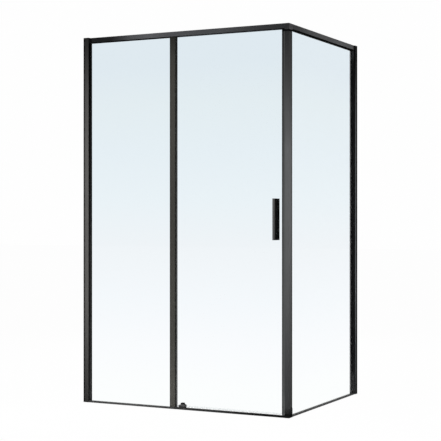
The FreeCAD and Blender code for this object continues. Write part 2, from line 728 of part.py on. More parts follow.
# Rail connectors: one leg down in the telescoping frame, one along in the rail's loft, and a collar
# of the rail's outline between the wall profile and the rail's end, slotted for the glass.
# The outline is drawn as distance from the wall, then height above the rails' bottom.
leg_left = "frame_left + frame_wall + roller_play"
CONNECTOR = [(leg_left, "-connector_leg"), (leg_left + " + connector_leg_wide", "-connector_leg"),
             (leg_left + " + connector_leg_wide", TENON_LOW),
             ("rail_start + connector_reach", TENON_LOW),
             ("rail_start + connector_reach", TENON_HIGH), (leg_left, TENON_HIGH)]
CONNECTOR_WIDE = "pocket_wide - 2 * roller_play"
COLLAR = box_loop("channel_face", "0", "rail_start", "rail_height")
COLLAR_SLOT = box_loop("-roller_play", "-overrun", "pocket_wide - roller_play", "rail_channel")
link = body_at("rail_connector_left", "left", "front + pocket_in + roller_play", "rail_bottom")
pad_loops(link, [CONNECTOR], CONNECTOR_WIDE, "XZ_Plane", backwards=True)
pad_loops(link, [COLLAR], "rail_depth", "XZ_Plane", "pocket_in + roller_play", backwards=True)
cut_loop(link, COLLAR_SLOT, "collar_long + 2 * overrun", "YZ_Plane", "channel_face - overrun",
         backwards=True)
cut_circles(link, [("rail_start + connector_screw_in", "(" + CONNECTOR_WIDE + ") / 2")],
            "screw_radius", "connector_screw_long - rail_wall + overrun", "XY_Plane",
            "rail_height - roller_play")
link = body_at("rail_connector_rear", "right - pocket_in - roller_play", "rear", "rail_bottom", TURNED)
pad_loops(link, [CONNECTOR], CONNECTOR_WIDE, "YZ_Plane")
pad_loops(link, [COLLAR], "pocket_end + side_rail_back", "YZ_Plane", "-pocket_in - roller_play")
cut_loop(link, COLLAR_SLOT, "collar_long + 2 * overrun", "XZ_Plane", "-channel_face + overrun")
cut_circles(link, [("(" + CONNECTOR_WIDE + ") / 2", "rail_start + connector_screw_in")],
            "screw_radius", "connector_screw_long - rail_wall + overrun", "XY_Plane",
            "rail_height - roller_play")

# Screws through the rails' tops into the connectors.
JOINTS = (("left + rail_start + connector_screw_in", "front + " + LOFT_IN),
          ("left + post_left - connector_screw_in", "front + " + LOFT_IN),
          ("right - (" + LOFT_IN + ")", "front + rail_depth + connector_screw_in"),
          ("right - (" + LOFT_IN + ")", "rear - rail_start - connector_screw_in"))
group("connector_screws",
      [screw(f"connector_screw_{number}", (x, y, "profile_top"), UPRIGHT, "screw_radius",
             "connector_screw_long", "screw_head_radius", "screw_head_high")
       for number, (x, y) in enumerate(JOINTS, 1)])

# Glass panes, arrised on every edge.


def pane(label, x, y, z, turn, loop, holes=()):
    """A pane of glass, drilled where it is asked for."""
    body = body_at(label, x, y, z, turn)
    last = pad_loops(body, [loop], "glass")
    if holes:
        last = cut_circles(body, holes, "bush_radius", "glass + 2 * overrun", "XY_Plane",
                           "-overrun", backwards=True)
    doc.recompute()
    faces = [f"Face{number}" for number, face in enumerate(last.Shape.Faces, 1)
             if abs(face.normalAt(0, 0).z) > 0.5 and face.Surface.TypeId == "Part::GeomPlane"]
    bevel = body.newObject("PartDesign::Chamfer", body.Name + "_arris")
    bevel.Base = (last, faces)
    bind(bevel, "Size", "glass_arris")
    return body


fixed_bottom = "sill_floor + block_thick"
FIXED_HIGH = "fixed_top - (" + fixed_bottom + ")"
pane("fixed_glass", "left + fixed_left", "front + glass_in + glass", fixed_bottom, TO_FRONT,
     box_loop("0", "0", "fixed_right - fixed_left", FIXED_HIGH))
SIDE_NEAR = "rail_depth - glass_bite"
SIDE_LONG = "depth - fixed_left - (" + SIDE_NEAR + ")"
pane("side_glass", "right - glass_in", "front + " + SIDE_NEAR, fixed_bottom, TO_LEFT,
     box_loop("0", "-(" + FIXED_HIGH + ")", SIDE_LONG, "0"))
HANDLE_HOLES = [("handle_along - door_left", "handle_middle - door_bottom + " + way)
                for way in ("handle_spread", "-handle_spread")]
pane("door_glass", "left + door_left", "front + door_back", "door_bottom", TO_FRONT,
     box_loop("0", "0", "door_right - door_left", "door_top - door_bottom"), HANDLE_HOLES)

# Thin blocks under the two fixed panes, at these shares of their length.
BLOCK_SHARES = (0.2, 0.8)
blocks = []
for number, share in enumerate(BLOCK_SHARES, 1):
    for side, x, y, turn in (
            ("front", f"left + fixed_left + {share} * (fixed_right - fixed_left) - block_long / 2",
             "front + glass_in", UPRIGHT),
            ("side", "right - glass_in - glass",
             f"front + {SIDE_NEAR} + {share} * ({SIDE_LONG}) - block_long / 2", UPRIGHT)):
        block = doc.addObject("Part::Box", f"setting_block_{side}_{number}")
        sizes = ("block_long", "glass") if side == "front" else ("glass", "block_long")
        bind(block, "Length", sizes[0])
        bind(block, "Width", sizes[1])
        bind(block, "Height", "block_thick")
        place(block, x, y, "sill_floor", turn)
        blocks.append(block)
group("setting_blocks", blocks)

# Mid post on the free edge of the fixed pane, located by plugs in the rails.
MID_POST = [("0", "0"), ("mid_post_width", "0"), ("mid_post_width", "frame_deep"), ("0", "frame_deep"),
            ("0", "frame_wall + pocket_wide"), ("pocket_deep", "frame_wall + pocket_wide"),
            ("pocket_deep", "frame_wall"), ("0", "frame_wall")]
MID_BOX = box_loop("pocket_deep + frame_wall", "frame_wall",
                   "mid_post_width - frame_wall", "frame_deep - frame_wall")
post = body_at("mid_post", "left + fixed_width", "front + frame_in", "front_sill")
extrusion = pad_loops(post, [MID_POST, MID_BOX], "rail_bottom - front_sill")
round_corners(post, extrusion, (0, 1, 2, 3))

plugs = []
for name, z, high, wide in (
        ("top", "rail_bottom - mid_plug_reach", "mid_plug_reach + rail_channel", "pocket_wide"),
        ("bottom", "sill_floor", "front_sill - sill_floor + mid_plug_reach",
         "glass + 2 * slide_gap")):
    plug = doc.addObject("Part::Box", "mid_post_plug_" + name)
    bind(plug, "Length", "mid_plug_long")
    bind(plug, "Width", wide + " - 2 * roller_play")
    bind(plug, "Height", high)
    place(plug, "left + fixed_width + pocket_deep + frame_wall + roller_play",
          "front + " + LOFT_IN + " - (" + wide + ") / 2 + roller_play", z)
    plugs.append(plug)
group("mid_post_plugs", plugs)


def gasket_loop(reach):
    """A U that wraps a glass edge; drawn with the glass coming in from +X."""
    return [("0", "0"), (reach, "0"), (reach, "gasket"), ("gasket", "gasket"),
            ("gasket", "gasket + glass"), (reach, "gasket + glass"), (reach, "pocket_wide"),
            ("0", "pocket_wide")]


def mirrored(loop, width):
    """Turn a loop over, end for end along its first axis."""
    return [(width + " - (" + across + ")", up) for across, up in reversed(loop)]


# Glazing gaskets on the edges that the profiles hold.
GASKET = gasket_loop("pocket_deep")
UPRIGHTS = (
    ("fixed_glass_gasket", "left + frame_left + frame_hidden", "front + pocket_in",
     "front_sill", UPRIGHT, GASKET),
    ("mid_post_gasket", "left + fixed_width", "front + pocket_in",
     "front_sill", UPRIGHT, mirrored(GASKET, "pocket_deep")),
    ("side_glass_rear_gasket", "right - pocket_in", "rear - frame_left - frame_hidden",
     "side_sill", TURNED, swap(GASKET)),
    ("side_glass_front_gasket", "right - pocket_in", "front + rail_depth",
     "foot_floor", TURNED, swap(mirrored(GASKET, "pocket_deep"))),
)
for label, x, y, z, turn, loop in UPRIGHTS:
    strip = body_at(label, x, y, z, turn)
    pad_loops(strip, [loop], "rail_bottom - " + z)
TOP_GASKET = swap(mirrored(gasket_loop("rail_channel"), "rail_channel"))
# The top gaskets' legs hang below the rails as lips where no upright is in the way.
def top_lips(reach):
    return [box_loop("0", "-" + reach, "gasket", "0"),
            box_loop("gasket + glass", "-" + reach, "pocket_wide", "0")]


strip = body_at("fixed_glass_top_gasket", "left + fixed_left", "front + pocket_in",
                "rail_bottom", TO_RIGHT)
pad_loops(strip, [TOP_GASKET], "fixed_right - fixed_left")
pad_loops(strip, top_lips("gasket_lip"), "fixed_width - frame_end - 2 * slide_gap",
          offset="frame_end - fixed_left + slide_gap")
strip = body_at("side_glass_top_gasket", "right - pocket_in", "front + rail_depth",
                "rail_bottom", TO_BACK)
pad_loops(strip, [TOP_GASKET], "depth - rail_depth - fixed_left")
pad_loops(strip, top_lips("side_gasket_lip"), "depth - rail_depth - frame_end - 2 * slide_gap",
          offset="slide_gap")

# Strike profile: a hollow cover with the channel that takes the door's edge.
STRIKE = [("0", "0"), ("strike_width", "0"), ("strike_width", "strike_deep"), ("0", "strike_deep"),
          ("0", "strike_deep - strike_wall"), ("strike_width - strike_wall", "strike_deep - strike_wall"),
          ("strike_width - strike_wall", "strike_pocket"), ("0", "strike_pocket")]
STRIKE_BOX = box_loop("strike_wall", "strike_wall", "strike_width - strike_wall",
                      "strike_pocket - strike_wall")
strike = body_at("strike_profile", "left + strike_left", "front + strike_inset",
                 "threshold_lip_high")
extrusion = pad_loops(strike, [STRIKE, STRIKE_BOX], "rail_bottom - threshold_lip_high")
round_corners(strike, extrusion, (0, 3))
cut_circles(strike, [("strike_screw_in - strike_inset", level + " - threshold_lip_high")
                     for level in STRIKE_SCREWS],
            "strike_screw_radius", "strike_wall + overrun", "YZ_Plane",
            "strike_width + overrun / 2")
group("strike_screws",
      [screw(f"strike_screw_{number}",
             ("left + post_left - strike_wall", "front + strike_screw_in", level), TO_LEFT,
             "strike_screw_radius", "strike_screw_long", "strike_head_radius", "strike_head_high")
       for number, level in enumerate(STRIKE_SCREWS, 1)])

# Magnet strip of the jamb: its back is rebated to pass over the screw heads.
strip_deep = "strike_magnet_thick + strike_head_high + roller_play"
rebate = "2 * (strike_head_radius + slide_gap)"
STRIKE_MAGNET = [("0", "0"), ("strike_magnet_thick", "0"), ("strike_magnet_thick", rebate),
                 (strip_deep, rebate), (strip_deep, "strike_pocket_wide"),
                 ("0", "strike_pocket_wide")]
strip = body_at("strike_magnet_seal", "left + post_left - strike_wall - (" + strip_deep + ")",
                "front + strike_inset + strike_pocket", "threshold_lip_high")
pad_loops(strip, [STRIKE_MAGNET], "rail_bottom - threshold_lip_high")

# Bottom guide: a domed base in the threshold's notch with a slot for the door.
guide = body_at("guide_base", "left + guide_left", "front + guide_front", "0")
dome = sketch_on(guide, "XZ_Plane")
crown = "guide_floor + guide_crown"
# Each pair is a share of the base's length and of its rise from shoulder to crown.
DOME_SHARES = ((1, 0), (0.97, 0.66), (0.88, 0.86), (0.7, 0.97), (0.6, 1),
               (0.4, 1), (0.3, 0.97), (0.12, 0.86), (0.03, 0.66), (0, 0))
DOME = [("0", "guide_floor"), ("guide_long", "guide_floor")]
DOME += [(f"{long_share} * guide_long",
          f"guide_shoulder + {rise_share} * (" + crown + " - guide_shoulder)")
         for long_share, rise_share in DOME_SHARES]
draw_loop(dome, DOME)
extrude(guide, dome, "guide_deep", backwards=True)
pad_loops(guide, [box_loop("0", "guide_step", "guide_long", "guide_deep")], "guide_floor")
cut_loop(guide, box_loop("slot_in - guide_front", "guide_floor + guide_bridge",
                         "slot_in - guide_front + slot_wide", crown + " + overrun"),
         "guide_long + 2 * overrun", "YZ_Plane", "-overrun", backwards=True)
PAD_FRONT = "door_in - pad_gap - pad_deep - guide_front"
PAD_SPAN = "2 * (pad_gap + pad_deep) + glass"
cut_loop(guide, box_loop("(guide_long - pad_wide) / 2 - pad_play", "pad_seat",
                         "(guide_long + pad_wide) / 2 + pad_play", crown + " + overrun"),
         PAD_SPAN + " + 2 * pad_play", "XZ_Plane", "-(" + PAD_FRONT + ") + pad_play")
SCREW_SPOTS = [("guide_long / 2 + " + way, "guide_screw_line")
               for way in ("guide_screw_spread", "-guide_screw_spread")]
cut_circles(guide, SCREW_SPOTS, "stop_screw_radius", crown + " + overrun", "XY_Plane",
            backwards=True)
cut_circles(guide, SCREW_SPOTS, "stop_head_radius + roller_play", crown, "XY_Plane",
            "guide_counterbore", backwards=True)

pads = []
for name, y in (("front", "front + door_in - pad_gap - pad_deep"),
                ("back", "front + door_back + pad_gap")):
    slab = doc.addObject("Part::Box", "guide_pad_" + name)
    bind(slab, "Length", "pad_wide")
    bind(slab, "Width", "pad_deep")
    bind(slab, "Height", "pad_top - pad_seat")
    place(slab, "left + guide_middle - pad_wide / 2", y, "pad_seat")
    pads.append(slab)
group("guide_pads", pads)
group("guide_screws",
      [screw("guide_screw_" + name, ("left + guide_middle + " + way,
                                     "front + guide_front + guide_screw_line",
                                     "guide_counterbore"), UPRIGHT,
             "stop_screw_radius", "guide_counterbore - sill_floor / 2",
             "stop_head_radius", "stop_head_high")
       for name, way in (("right", "guide_screw_spread"), ("left", "-guide_screw_spread"))])

# Rubber end stops, screwed up into the rail's top from inside.
stops = []
screws = []
for number, along in enumerate(STOPS, 1):
    base = doc.addObject("Part::Box", f"rail_stop_block_{number}")
    bind(base, "Length", "stop_long")
    bind(base, "Width", "stop_deep")
    bind(base, "Height", "stop_high")
    place(base, "left + " + along, "front + hanger_back + slide_gap",
          "rail_bottom + rail_inner - stop_high")
    spot = ("left + " + along + " + stop_long / 2", "front + " + STOP_IN,
            "rail_bottom + rail_inner - stop_high")
    hole = cylinder(f"rail_stop_hole_{number}", "stop_screw_radius", "stop_high + 2 * overrun")
    place(hole, spot[0], spot[1], spot[2] + " - overrun")
    sink = cylinder(f"rail_stop_sink_{number}", "stop_head_radius + roller_play",
                    "stop_head_high + overrun")
    place(sink, spot[0], spot[1], spot[2] + " - overrun")
    tools = combine("Part::Fuse", f"rail_stop_tools_{number}", hole, sink)
    stops.append(combine("Part::Cut", f"rail_stop_{number}", base, tools))
    fixing = screw(f"rail_stop_screw_{number}",
                   (spot[0], spot[1], spot[2] + " + stop_head_high"),
                   FreeCAD.Rotation(FreeCAD.Vector(1, 0, 0), 180), "stop_screw_radius",
                   "stop_high - stop_head_high + rail_wall / 2",
                   "stop_head_radius", "stop_head_high")
    screws.append(fixing)
group("rail_stops", stops)
group("rail_stop_screws", screws)

# Hanger profile bonded over the door's top edge, with a solid bar for the trolley screws.
HANGER = [("0", "0"), ("hanger_wall", "0"), ("hanger_wall", "hanger_skirt"),
          ("hanger_deep - hanger_wall", "hanger_skirt"), ("hanger_deep - hanger_wall", "0"),
          ("hanger_deep", "0"), ("hanger_deep", "hanger_skirt + hanger_bar"),
          ("0", "hanger_skirt + hanger_bar")]
TROLLEYS = (("left", "left_trolley"), ("right", "right_trolley"))
WAYS = (("a", "-roller_spread"), ("b", "roller_spread"))
screw_line = "hanger_skirt + hanger_bar / 2"
hanger = body_at("door_hanger_profile", "left + door_left + hanger_shy", "front + hanger_in",
                 "hanger_bottom", TO_RIGHT)
pad_loops(hanger, [HANGER], "door_right - door_left - 2 * hanger_shy")
cut_circles(hanger, [(screw_line, middle + " - door_left - hanger_shy + " + way)
                     for name, middle in TROLLEYS
                     for way in ("trolley_screw_spread", "-trolley_screw_spread")],
            "screw_radius", "trolley_screw_long - trolley_thick + overrun", "YZ_Plane",
            "hanger_deep + overrun")

# Trolleys: a pressed plate with two grooved rollers on pins.
trolley_screws = []
pins = []
for name, middle in TROLLEYS:
    plate = body_at("trolley_" + name, "left + " + middle, "front + trolley_back",
                    "rail_bottom + trolley_lift", TO_FRONT)
    plate_high = "hanger_bottom + hanger_skirt + hanger_bar - rail_bottom - trolley_lift"
    flat = pad_loops(plate, [box_loop("-trolley_long / 2", "0", "trolley_long / 2", plate_high)],
                     "trolley_thick")
    lift = " - rail_bottom - trolley_lift"
    cut_circles(plate, [(way, "roller_level" + lift) for side, way in WAYS], "pin_radius",
                "trolley_thick + 2 * overrun", "XY_Plane", "-overrun", backwards=True)
    cut_circles(plate, [(way, "trolley_screw_level" + lift)
                        for way in ("trolley_screw_spread", "-trolley_screw_spread")],
                "screw_radius", "trolley_thick + 2 * overrun", "XY_Plane", "-overrun",
                backwards=True)
    for number, way in enumerate(("-trolley_screw_spread", "trolley_screw_spread"), 1):
        trolley_screws.append(
            screw(f"trolley_screw_{name}_{number}",
                  (f"left + {middle} + {way}", "front + trolley_back", "trolley_screw_level"),
                  TO_BACK, "screw_radius", "trolley_screw_long", "screw_head_radius",
                  "screw_head_high"))
    for side, way in WAYS:
        number = len(pins) + 1
        spot = (f"left + {middle} + {way}", "front + trolley_back", "roller_level")
        shank = cylinder(f"pin_shank_{number}", "pin_radius",
                         "trolley_thick + roller_shoulder + roller_wide + roller_play",
                         "-trolley_thick")
        collar = cylinder(f"pin_collar_{number}", "pin_shoulder_radius",
                          "roller_shoulder + (roller_wide - bearing_wide) / 2 - roller_play")
        rivet = cylinder(f"pin_head_{number}", "pin_head_radius", "pin_head_high",
                         "roller_shoulder + roller_wide + roller_play")
        lower = combine("Part::Fuse", f"pin_lower_{number}", shank, collar)
        pin = combine("Part::Fuse", f"pin_{number}", lower, rivet)
        place(pin, *spot, TO_BACK)
        pins.append(pin)
        # Roller tread with a groove that runs over the track's bead, and its ball bearing.
        tread = doc.addObject("PartDesign::Body", f"roller_tread_{number}")
        half = sketch_on(tread, "XZ_Plane")
        edge = "roller_radius - groove_deep"
        ends = ("(roller_wide - groove_wide) / 2", "(roller_wide + groove_wide) / 2")
        draw_loop(half, [("bearing_radius", "0"), ("roller_radius - slide_gap", "0"),
                         ("roller_radius", "slide_gap"), ("roller_radius", ends[0]),
                         (edge, ends[0]), (edge, ends[1]), ("roller_radius", ends[1]),
                         ("roller_radius", "roller_wide - slide_gap"),
                         ("roller_radius - slide_gap", "roller_wide"),
                         ("bearing_radius", "roller_wide")])
        turned = tread.newObject("PartDesign::Revolution", f"roller_turn_{number}")
        turned.Profile = half
        turned.ReferenceAxis = (half, ["V_Axis"])
        place(tread, spot[0], "front + roller_in", spot[2], TO_BACK)
        piece(f"roller_tread_{number}", tread)
        ring = cylinder(f"bearing_ring_{number}", "bearing_radius", "bearing_wide")
        bore = cylinder(f"bearing_bore_{number}", "pin_radius + bearing_play",
                        "bearing_wide + 2 * overrun", "-overrun")
        bearing = combine("Part::Cut", f"roller_bearing_{number}", ring, bore)
        place(bearing, spot[0], "front + roller_in + (roller_wide - bearing_wide) / 2", spot[2], TO_BACK)
        piece(f"roller_bearing_{number}", bearing)
group("trolley_screws", trolley_screws)
group("roller_axle_pins", pins)

# Door seals. Upright ones are drawn from the glass edge; the bottom one hangs a wiper lip.
EDGE_SEAL = [("0", "0"), ("edge_seal_bite", "0"), ("edge_seal_bite", "seal_leg"), ("0", "seal_leg"),
             ("0", "seal_leg + glass"), ("edge_seal_bite", "seal_leg + glass"),
             ("edge_seal_bite", "2 * seal_leg + glass"),
             ("-edge_seal_floor", "2 * seal_leg + glass"),
             ("-edge_seal_floor", "-(door_gap - seal_leg - fin_gap)"),
             ("fin_thick - edge_seal_floor", "-(door_gap - seal_leg - fin_gap)"),
             ("fin_thick - edge_seal_floor", "0")]
strip = body_at("door_edge_seal", "left + door_left", "front + door_in - seal_leg",
                "door_bottom - edge_seal_drop")
pad_loops(strip, [EDGE_SEAL], "hanger_bottom - door_bottom - seal_leg + edge_seal_drop")

MAGNET_SEAL = [("0", "0"), ("seal_bite + nose_long", "0"),
               ("seal_bite + nose_long", "2 * seal_leg + glass"), ("0", "2 * seal_leg + glass"),
               ("0", "seal_leg + glass"), ("seal_bite", "seal_leg + glass"),
               ("seal_bite", "seal_leg"), ("0", "seal_leg")]
NOSE_HOLLOW = box_loop("seal_bite + nose_wall", "nose_wall",
                       "seal_bite + nose_long - magnet_long", "2 * seal_leg + glass - nose_wall")
strip = body_at("door_magnet_seal", "left + door_right - seal_bite", "front + door_in - seal_leg",
                "door_bottom")
pad_loops(strip, [MAGNET_SEAL, NOSE_HOLLOW], "hanger_bottom - door_bottom - seal_leg")

leg_top = "seal_floor + seal_bite"
BOTTOM_SEAL = [("0", "0"), ("(seal_leg + glass) / 2", "0"), ("(seal_leg + glass) / 2", "-lip_high"),
               ("(seal_leg + glass) / 2 + lip_wide", "-lip_high"),
               ("(seal_leg + glass) / 2 + lip_wide", "0"), ("2 * seal_leg + glass", "0"),
               ("2 * seal_leg + glass", leg_top), ("seal_leg + glass", leg_top),
               ("seal_leg + glass", "seal_floor"), ("seal_leg", "seal_floor"),
               ("seal_leg", leg_top), ("0", leg_top)]
strip = body_at("door_bottom_seal", "left + door_left + edge_seal_bite + slide_gap",
                "front + door_in - seal_leg", "door_bottom - seal_floor", TO_RIGHT)
pad_loops(strip, [BOTTOM_SEAL],
          "door_right - door_left - edge_seal_bite - seal_bite - 2 * slide_gap")


def handle_bar(label, y, deep, turn):
    """One bar of the handle, drilled from its glass side for the two studs."""
    bar = body_at(label, "left + handle_along", y, "handle_middle - handle_high / 2", turn)
    section = pad_loops(bar, [box_loop("-handle_wide / 2", "0", "handle_wide / 2", deep)], "handle_high")
    round_corners(bar, section, (2, 3), "handle_round")
    cut_circles(bar, [("0", "handle_high / 2 + " + way) for way in ("handle_spread", "-handle_spread")],
                "stud_radius", "stud_bite - handle_pad + overrun", "XZ_Plane", "overrun")


handle_bar("handle_outer", "front + door_in - handle_pad", "handle_outer_deep", TURNED)
handle_bar("handle_inner", "front + door_back + handle_pad", "handle_inner_deep", UPRIGHT)

strips = []
bushes = []
studs = []
for name, y in (("outer", "front + door_in - handle_pad"), ("inner", "front + door_back")):
    band = doc.addObject("Part::Box", "handle_gasket_band_" + name)
    bind(band, "Length", "handle_wide")
    bind(band, "Width", "handle_pad")
    bind(band, "Height", "handle_high")
    place(band, "left + handle_along - handle_wide / 2", y, "handle_middle - handle_high / 2")
    drilled = band
    for number, way in enumerate(("handle_spread", "-handle_spread"), 1):
        drill = cylinder(f"handle_gasket_drill_{name}_{number}", "stud_radius",
                         "handle_pad + 2 * overrun")
        place(drill, "left + handle_along", y + " - overrun", "handle_middle + " + way, TO_BACK)
        drilled = combine("Part::Cut", f"handle_gasket_{name}_{number}", drilled, drill)
    strips.append(drilled)
for number, way in enumerate(("handle_spread", "-handle_spread"), 1):
    sleeve = cylinder(f"handle_bush_sleeve_{number}", "bush_radius", "glass")
    bore = cylinder(f"handle_bush_bore_{number}", "stud_radius", "glass + 2 * overrun", "-overrun")
    bush = combine("Part::Cut", f"handle_bush_{number}", sleeve, bore)
    place(bush, "left + handle_along", "front + door_in", "handle_middle + " + way, TO_BACK)
    bushes.append(bush)
    stud = cylinder(f"handle_stud_{number}", "stud_radius", "glass + 2 * stud_bite")
    place(stud, "left + handle_along", "front + door_in - stud_bite", "handle_middle + " + way, TO_BACK)
    studs.append(stud)
group("handle_gaskets", strips)
group("handle_bushes", bushes)
group("handle_studs", studs)

doc.recompute()

# Every object must have been built, and every sub-part must be a valid shape.
faults = [f"{item.Label}: {item.State}" for item in doc.Objects
          if "Invalid" in item.State or "Error" in item.State]
faults += [item.Label + ": bad shape" for item in pieces
           if item.Shape.isNull() or not item.Shape.isValid() or not item.Shape.Solids]
if faults:
    raise RuntimeError("\n".join(faults))

os.makedirs("parts", exist_ok=True)
for item in pieces:
    item.Shape.exportStep(f"parts/{item.Label}.step")
print(len(pieces), "sub-parts written")
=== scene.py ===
import bpy
import math
from mathutils import Matrix, Vector


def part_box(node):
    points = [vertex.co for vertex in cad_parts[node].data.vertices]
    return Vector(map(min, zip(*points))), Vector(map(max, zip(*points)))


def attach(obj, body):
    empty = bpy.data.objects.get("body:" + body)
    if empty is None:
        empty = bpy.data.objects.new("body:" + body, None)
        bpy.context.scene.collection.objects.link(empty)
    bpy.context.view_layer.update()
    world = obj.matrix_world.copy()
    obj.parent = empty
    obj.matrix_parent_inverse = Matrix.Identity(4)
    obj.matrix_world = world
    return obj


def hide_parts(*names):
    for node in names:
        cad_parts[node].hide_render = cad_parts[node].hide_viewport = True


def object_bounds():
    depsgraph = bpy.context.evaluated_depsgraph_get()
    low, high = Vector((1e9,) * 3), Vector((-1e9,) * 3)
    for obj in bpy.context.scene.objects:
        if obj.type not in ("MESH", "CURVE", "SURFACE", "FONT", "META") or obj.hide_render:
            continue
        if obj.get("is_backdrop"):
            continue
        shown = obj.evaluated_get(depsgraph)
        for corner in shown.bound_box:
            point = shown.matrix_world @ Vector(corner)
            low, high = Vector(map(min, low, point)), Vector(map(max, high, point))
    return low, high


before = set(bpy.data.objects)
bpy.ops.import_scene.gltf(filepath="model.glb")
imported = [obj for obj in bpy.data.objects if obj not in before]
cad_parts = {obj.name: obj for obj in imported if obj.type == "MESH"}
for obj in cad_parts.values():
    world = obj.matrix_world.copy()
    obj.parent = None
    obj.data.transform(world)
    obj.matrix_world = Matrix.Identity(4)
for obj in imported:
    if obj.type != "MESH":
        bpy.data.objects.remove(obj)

bpy.context.scene.view_settings.view_transform = "Standard"
cad_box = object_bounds()

# CAMERA. Level with the middle of the panes, 27 degrees round to the right of the front, about seven
# metres off with a long lens, so that the uprights stay upright.
eye, bearing = Vector((3.0316, -6.0494, 0.9918)), math.radians(26.76)
picture_wide, focal_length, lift = 441, 1233.5, -3.65  # in pixels of the picture
lens = bpy.data.cameras.new("camera")
lens.sensor_width = 36
lens.lens = 36 * focal_length / picture_wide
lens.shift_y = lift / picture_wide
camera = bpy.data.objects.new("camera", lens)
camera.matrix_world = (Matrix.Translation(eye) @ Matrix.Rotation(bearing, 4, "Z")
                       @ Matrix.Rotation(math.pi / 2, 4, "X"))
bpy.context.scene.collection.objects.link(camera)
bpy.context.scene.camera = camera


# STUDIO. A pale floor and a white surround, one large soft lamp overhead, two small ones in front at
# the height of the handle, which light the middle of the uprights, and one behind for the inner faces.
class Wire:
    """A socket in a node tree. Sums on it add Math nodes, and node() adds any other node."""

    def __init__(self, tree, socket=None):
        self.tree, self.socket = tree, socket

    def node(self, kind, settings=(), sockets=(), out=0):
        """Add a node: its settings first, then the values or links of its sockets."""
        new = self.tree.nodes.new("ShaderNode" + kind)
        for name, value in dict(settings).items():
            if name == "stops":
                while len(new.color_ramp.elements) < len(value):
                    new.color_ramp.elements.new(1)
                for stop, (place, colour) in zip(new.color_ramp.elements, value):
                    stop.position, stop.color = place, (*colour, 1)
            else:
                setattr(new, name, value)
        for key, value in dict(sockets).items():
            if isinstance(value, Wire):
                self.tree.links.new(value.socket, new.inputs[key])
            else:
                new.inputs[key].default_value = value
        return Wire(self.tree, new.outputs[out] if len(new.outputs) else None)

    def feed(self, shader, socket):
        """Link this value to a socket of a shader."""
        self.tree.links.new(self.socket, shader.inputs[socket])

    def emboss(self, shader, strength, distance):
        """Raise and sink a shader's surface by this value."""
        bump = self.node("Bump", {}, {"Height": self, "Strength": strength, "Distance": distance})
        bump.feed(shader, "Normal")

    def ramp(self, *stops):
        """Turn this value into colours; a stop is (value, colour)."""
        return self.node("ValToRGB", {"stops": stops}, {0: self})

    def tinted(self, other):
        """Multiply this colour by another one."""
        return self.node("Mix", {"data_type": "RGBA", "blend_type": "MULTIPLY"},
                         {0: 1.0, 6: self, 7: other}, out=2)

    def sum(self, operation, first, second):
        return self.node("Math", {"operation": operation}, {0: first, 1: second})

    def __add__(self, other):
        return self.sum("ADD", self, other)

    def __sub__(self, other):
        return self.sum("SUBTRACT", self, other)

    def __rsub__(self, other):
        return self.sum("SUBTRACT", other, self)

    def __mul__(self, other):
        return self.sum("MULTIPLY", self, other)

    def __truediv__(self, other):
        return self.sum("DIVIDE", self, other)

    def __gt__(self, other):
        return self.sum("GREATER_THAN", self, other)

    def __lt__(self, other):
        return self.sum("LESS_THAN", self, other)

    __radd__ = __add__
    __rmul__ = __mul__


def seen_directly(w):
    """One where the camera, a reflection or a pane of glass looks at the background."""
    return (w.node("LightPath", out="Is Camera Ray") + w.node("LightPath", out="Is Glossy Ray")
            + w.node("LightPath", out="Is Transmission Ray"))


white, floor_level, whiteness = (1, 1, 1, 1), -0.0004, 0.98
bpy.ops.object.select_all(action="DESELECT")
bpy.ops.mesh.primitive_plane_add(size=60, location=(0, 0, floor_level))
floor = bpy.context.object
floor.name = "studio_floor"
bpy.ops.object.transform_apply()
paper = bpy.data.materials.new("floor_paper")
paper.use_nodes = True
paper.node_tree.nodes.clear()
w = Wire(paper.node_tree)
lit = w.node("BsdfDiffuse", {}, {"Color": (0.88, 0.88, 0.88, 1)})
glow = w.node("Emission", {}, {"Color": white, "Strength": 1.0})
seen = w.node("MixShader", {}, {0: seen_directly(w) * whiteness, 1: lit, 2: glow})
w.node("OutputMaterial", {}, {"Surface": seen})
floor.data.materials.append(paper)
floor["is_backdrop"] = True

world = bpy.data.worlds.new("studio")
world.use_nodes = True
world.node_tree.nodes.clear()
bpy.context.scene.world = world
w = Wire(world.node_tree)
soft = w.node("Background", {}, {"Color": white, "Strength": 0.22})
bright = w.node("Background", {}, {"Color": white, "Strength": 0.992})
seen = w.node("MixShader", {}, {0: seen_directly(w), 1: soft, 2: bright})
w.node("OutputWorld", {}, {"Surface": seen})


def softbox(name, place, aim, wide, high, watts):
    """Hang one rectangular lamp and turn it to the object."""
    lamp = bpy.data.lights.new(name, "AREA")
    lamp.shape = "RECTANGLE"
    lamp.size, lamp.size_y, lamp.energy = wide, high, watts
    held = bpy.data.objects.new(name, lamp)
    held.location = place
    held.visible_camera = held.visible_glossy = held.visible_transmission = False
    held.rotation_euler = (Vector(aim) - Vector(place)).to_track_quat("-Z", "Y").to_euler()
    bpy.context.scene.collection.objects.link(held)


softbox("lamp_top", (0.3, -1.2, 4.2), (0, 0, 0.9), 3.0, 3.0, 16)
softbox("lamp_left", (-0.85, -1.65, 0.98), (-0.5, -0.48, 0.98), 0.5, 0.5, 15)
softbox("lamp_corner", (1.35, -1.45, 0.98), (0.6, -0.46, 0.98), 0.5, 0.5, 16)
softbox("lamp_back", (-1.2, 2.6, 2.2), (0, 0.2, 0.9), 1.6, 1.6, 60)


# WALL PROFILES. The two channels that are screwed to the walls: extruded aluminium in black powder
# coat, with a hollow box on each side of the slot in which the inner frame slides.
def surface(name, sockets):
    """Start a material with a Principled surface whose plain values are set on its own sockets."""
    made = bpy.data.materials.new(name)
    made.use_nodes = True
    made.node_tree.nodes.clear()
    w = Wire(made.node_tree)
    principled = w.node("BsdfPrincipled", {}, sockets)
    w.node("OutputMaterial", {}, {"Surface": principled})
    return made, w, principled.socket.node


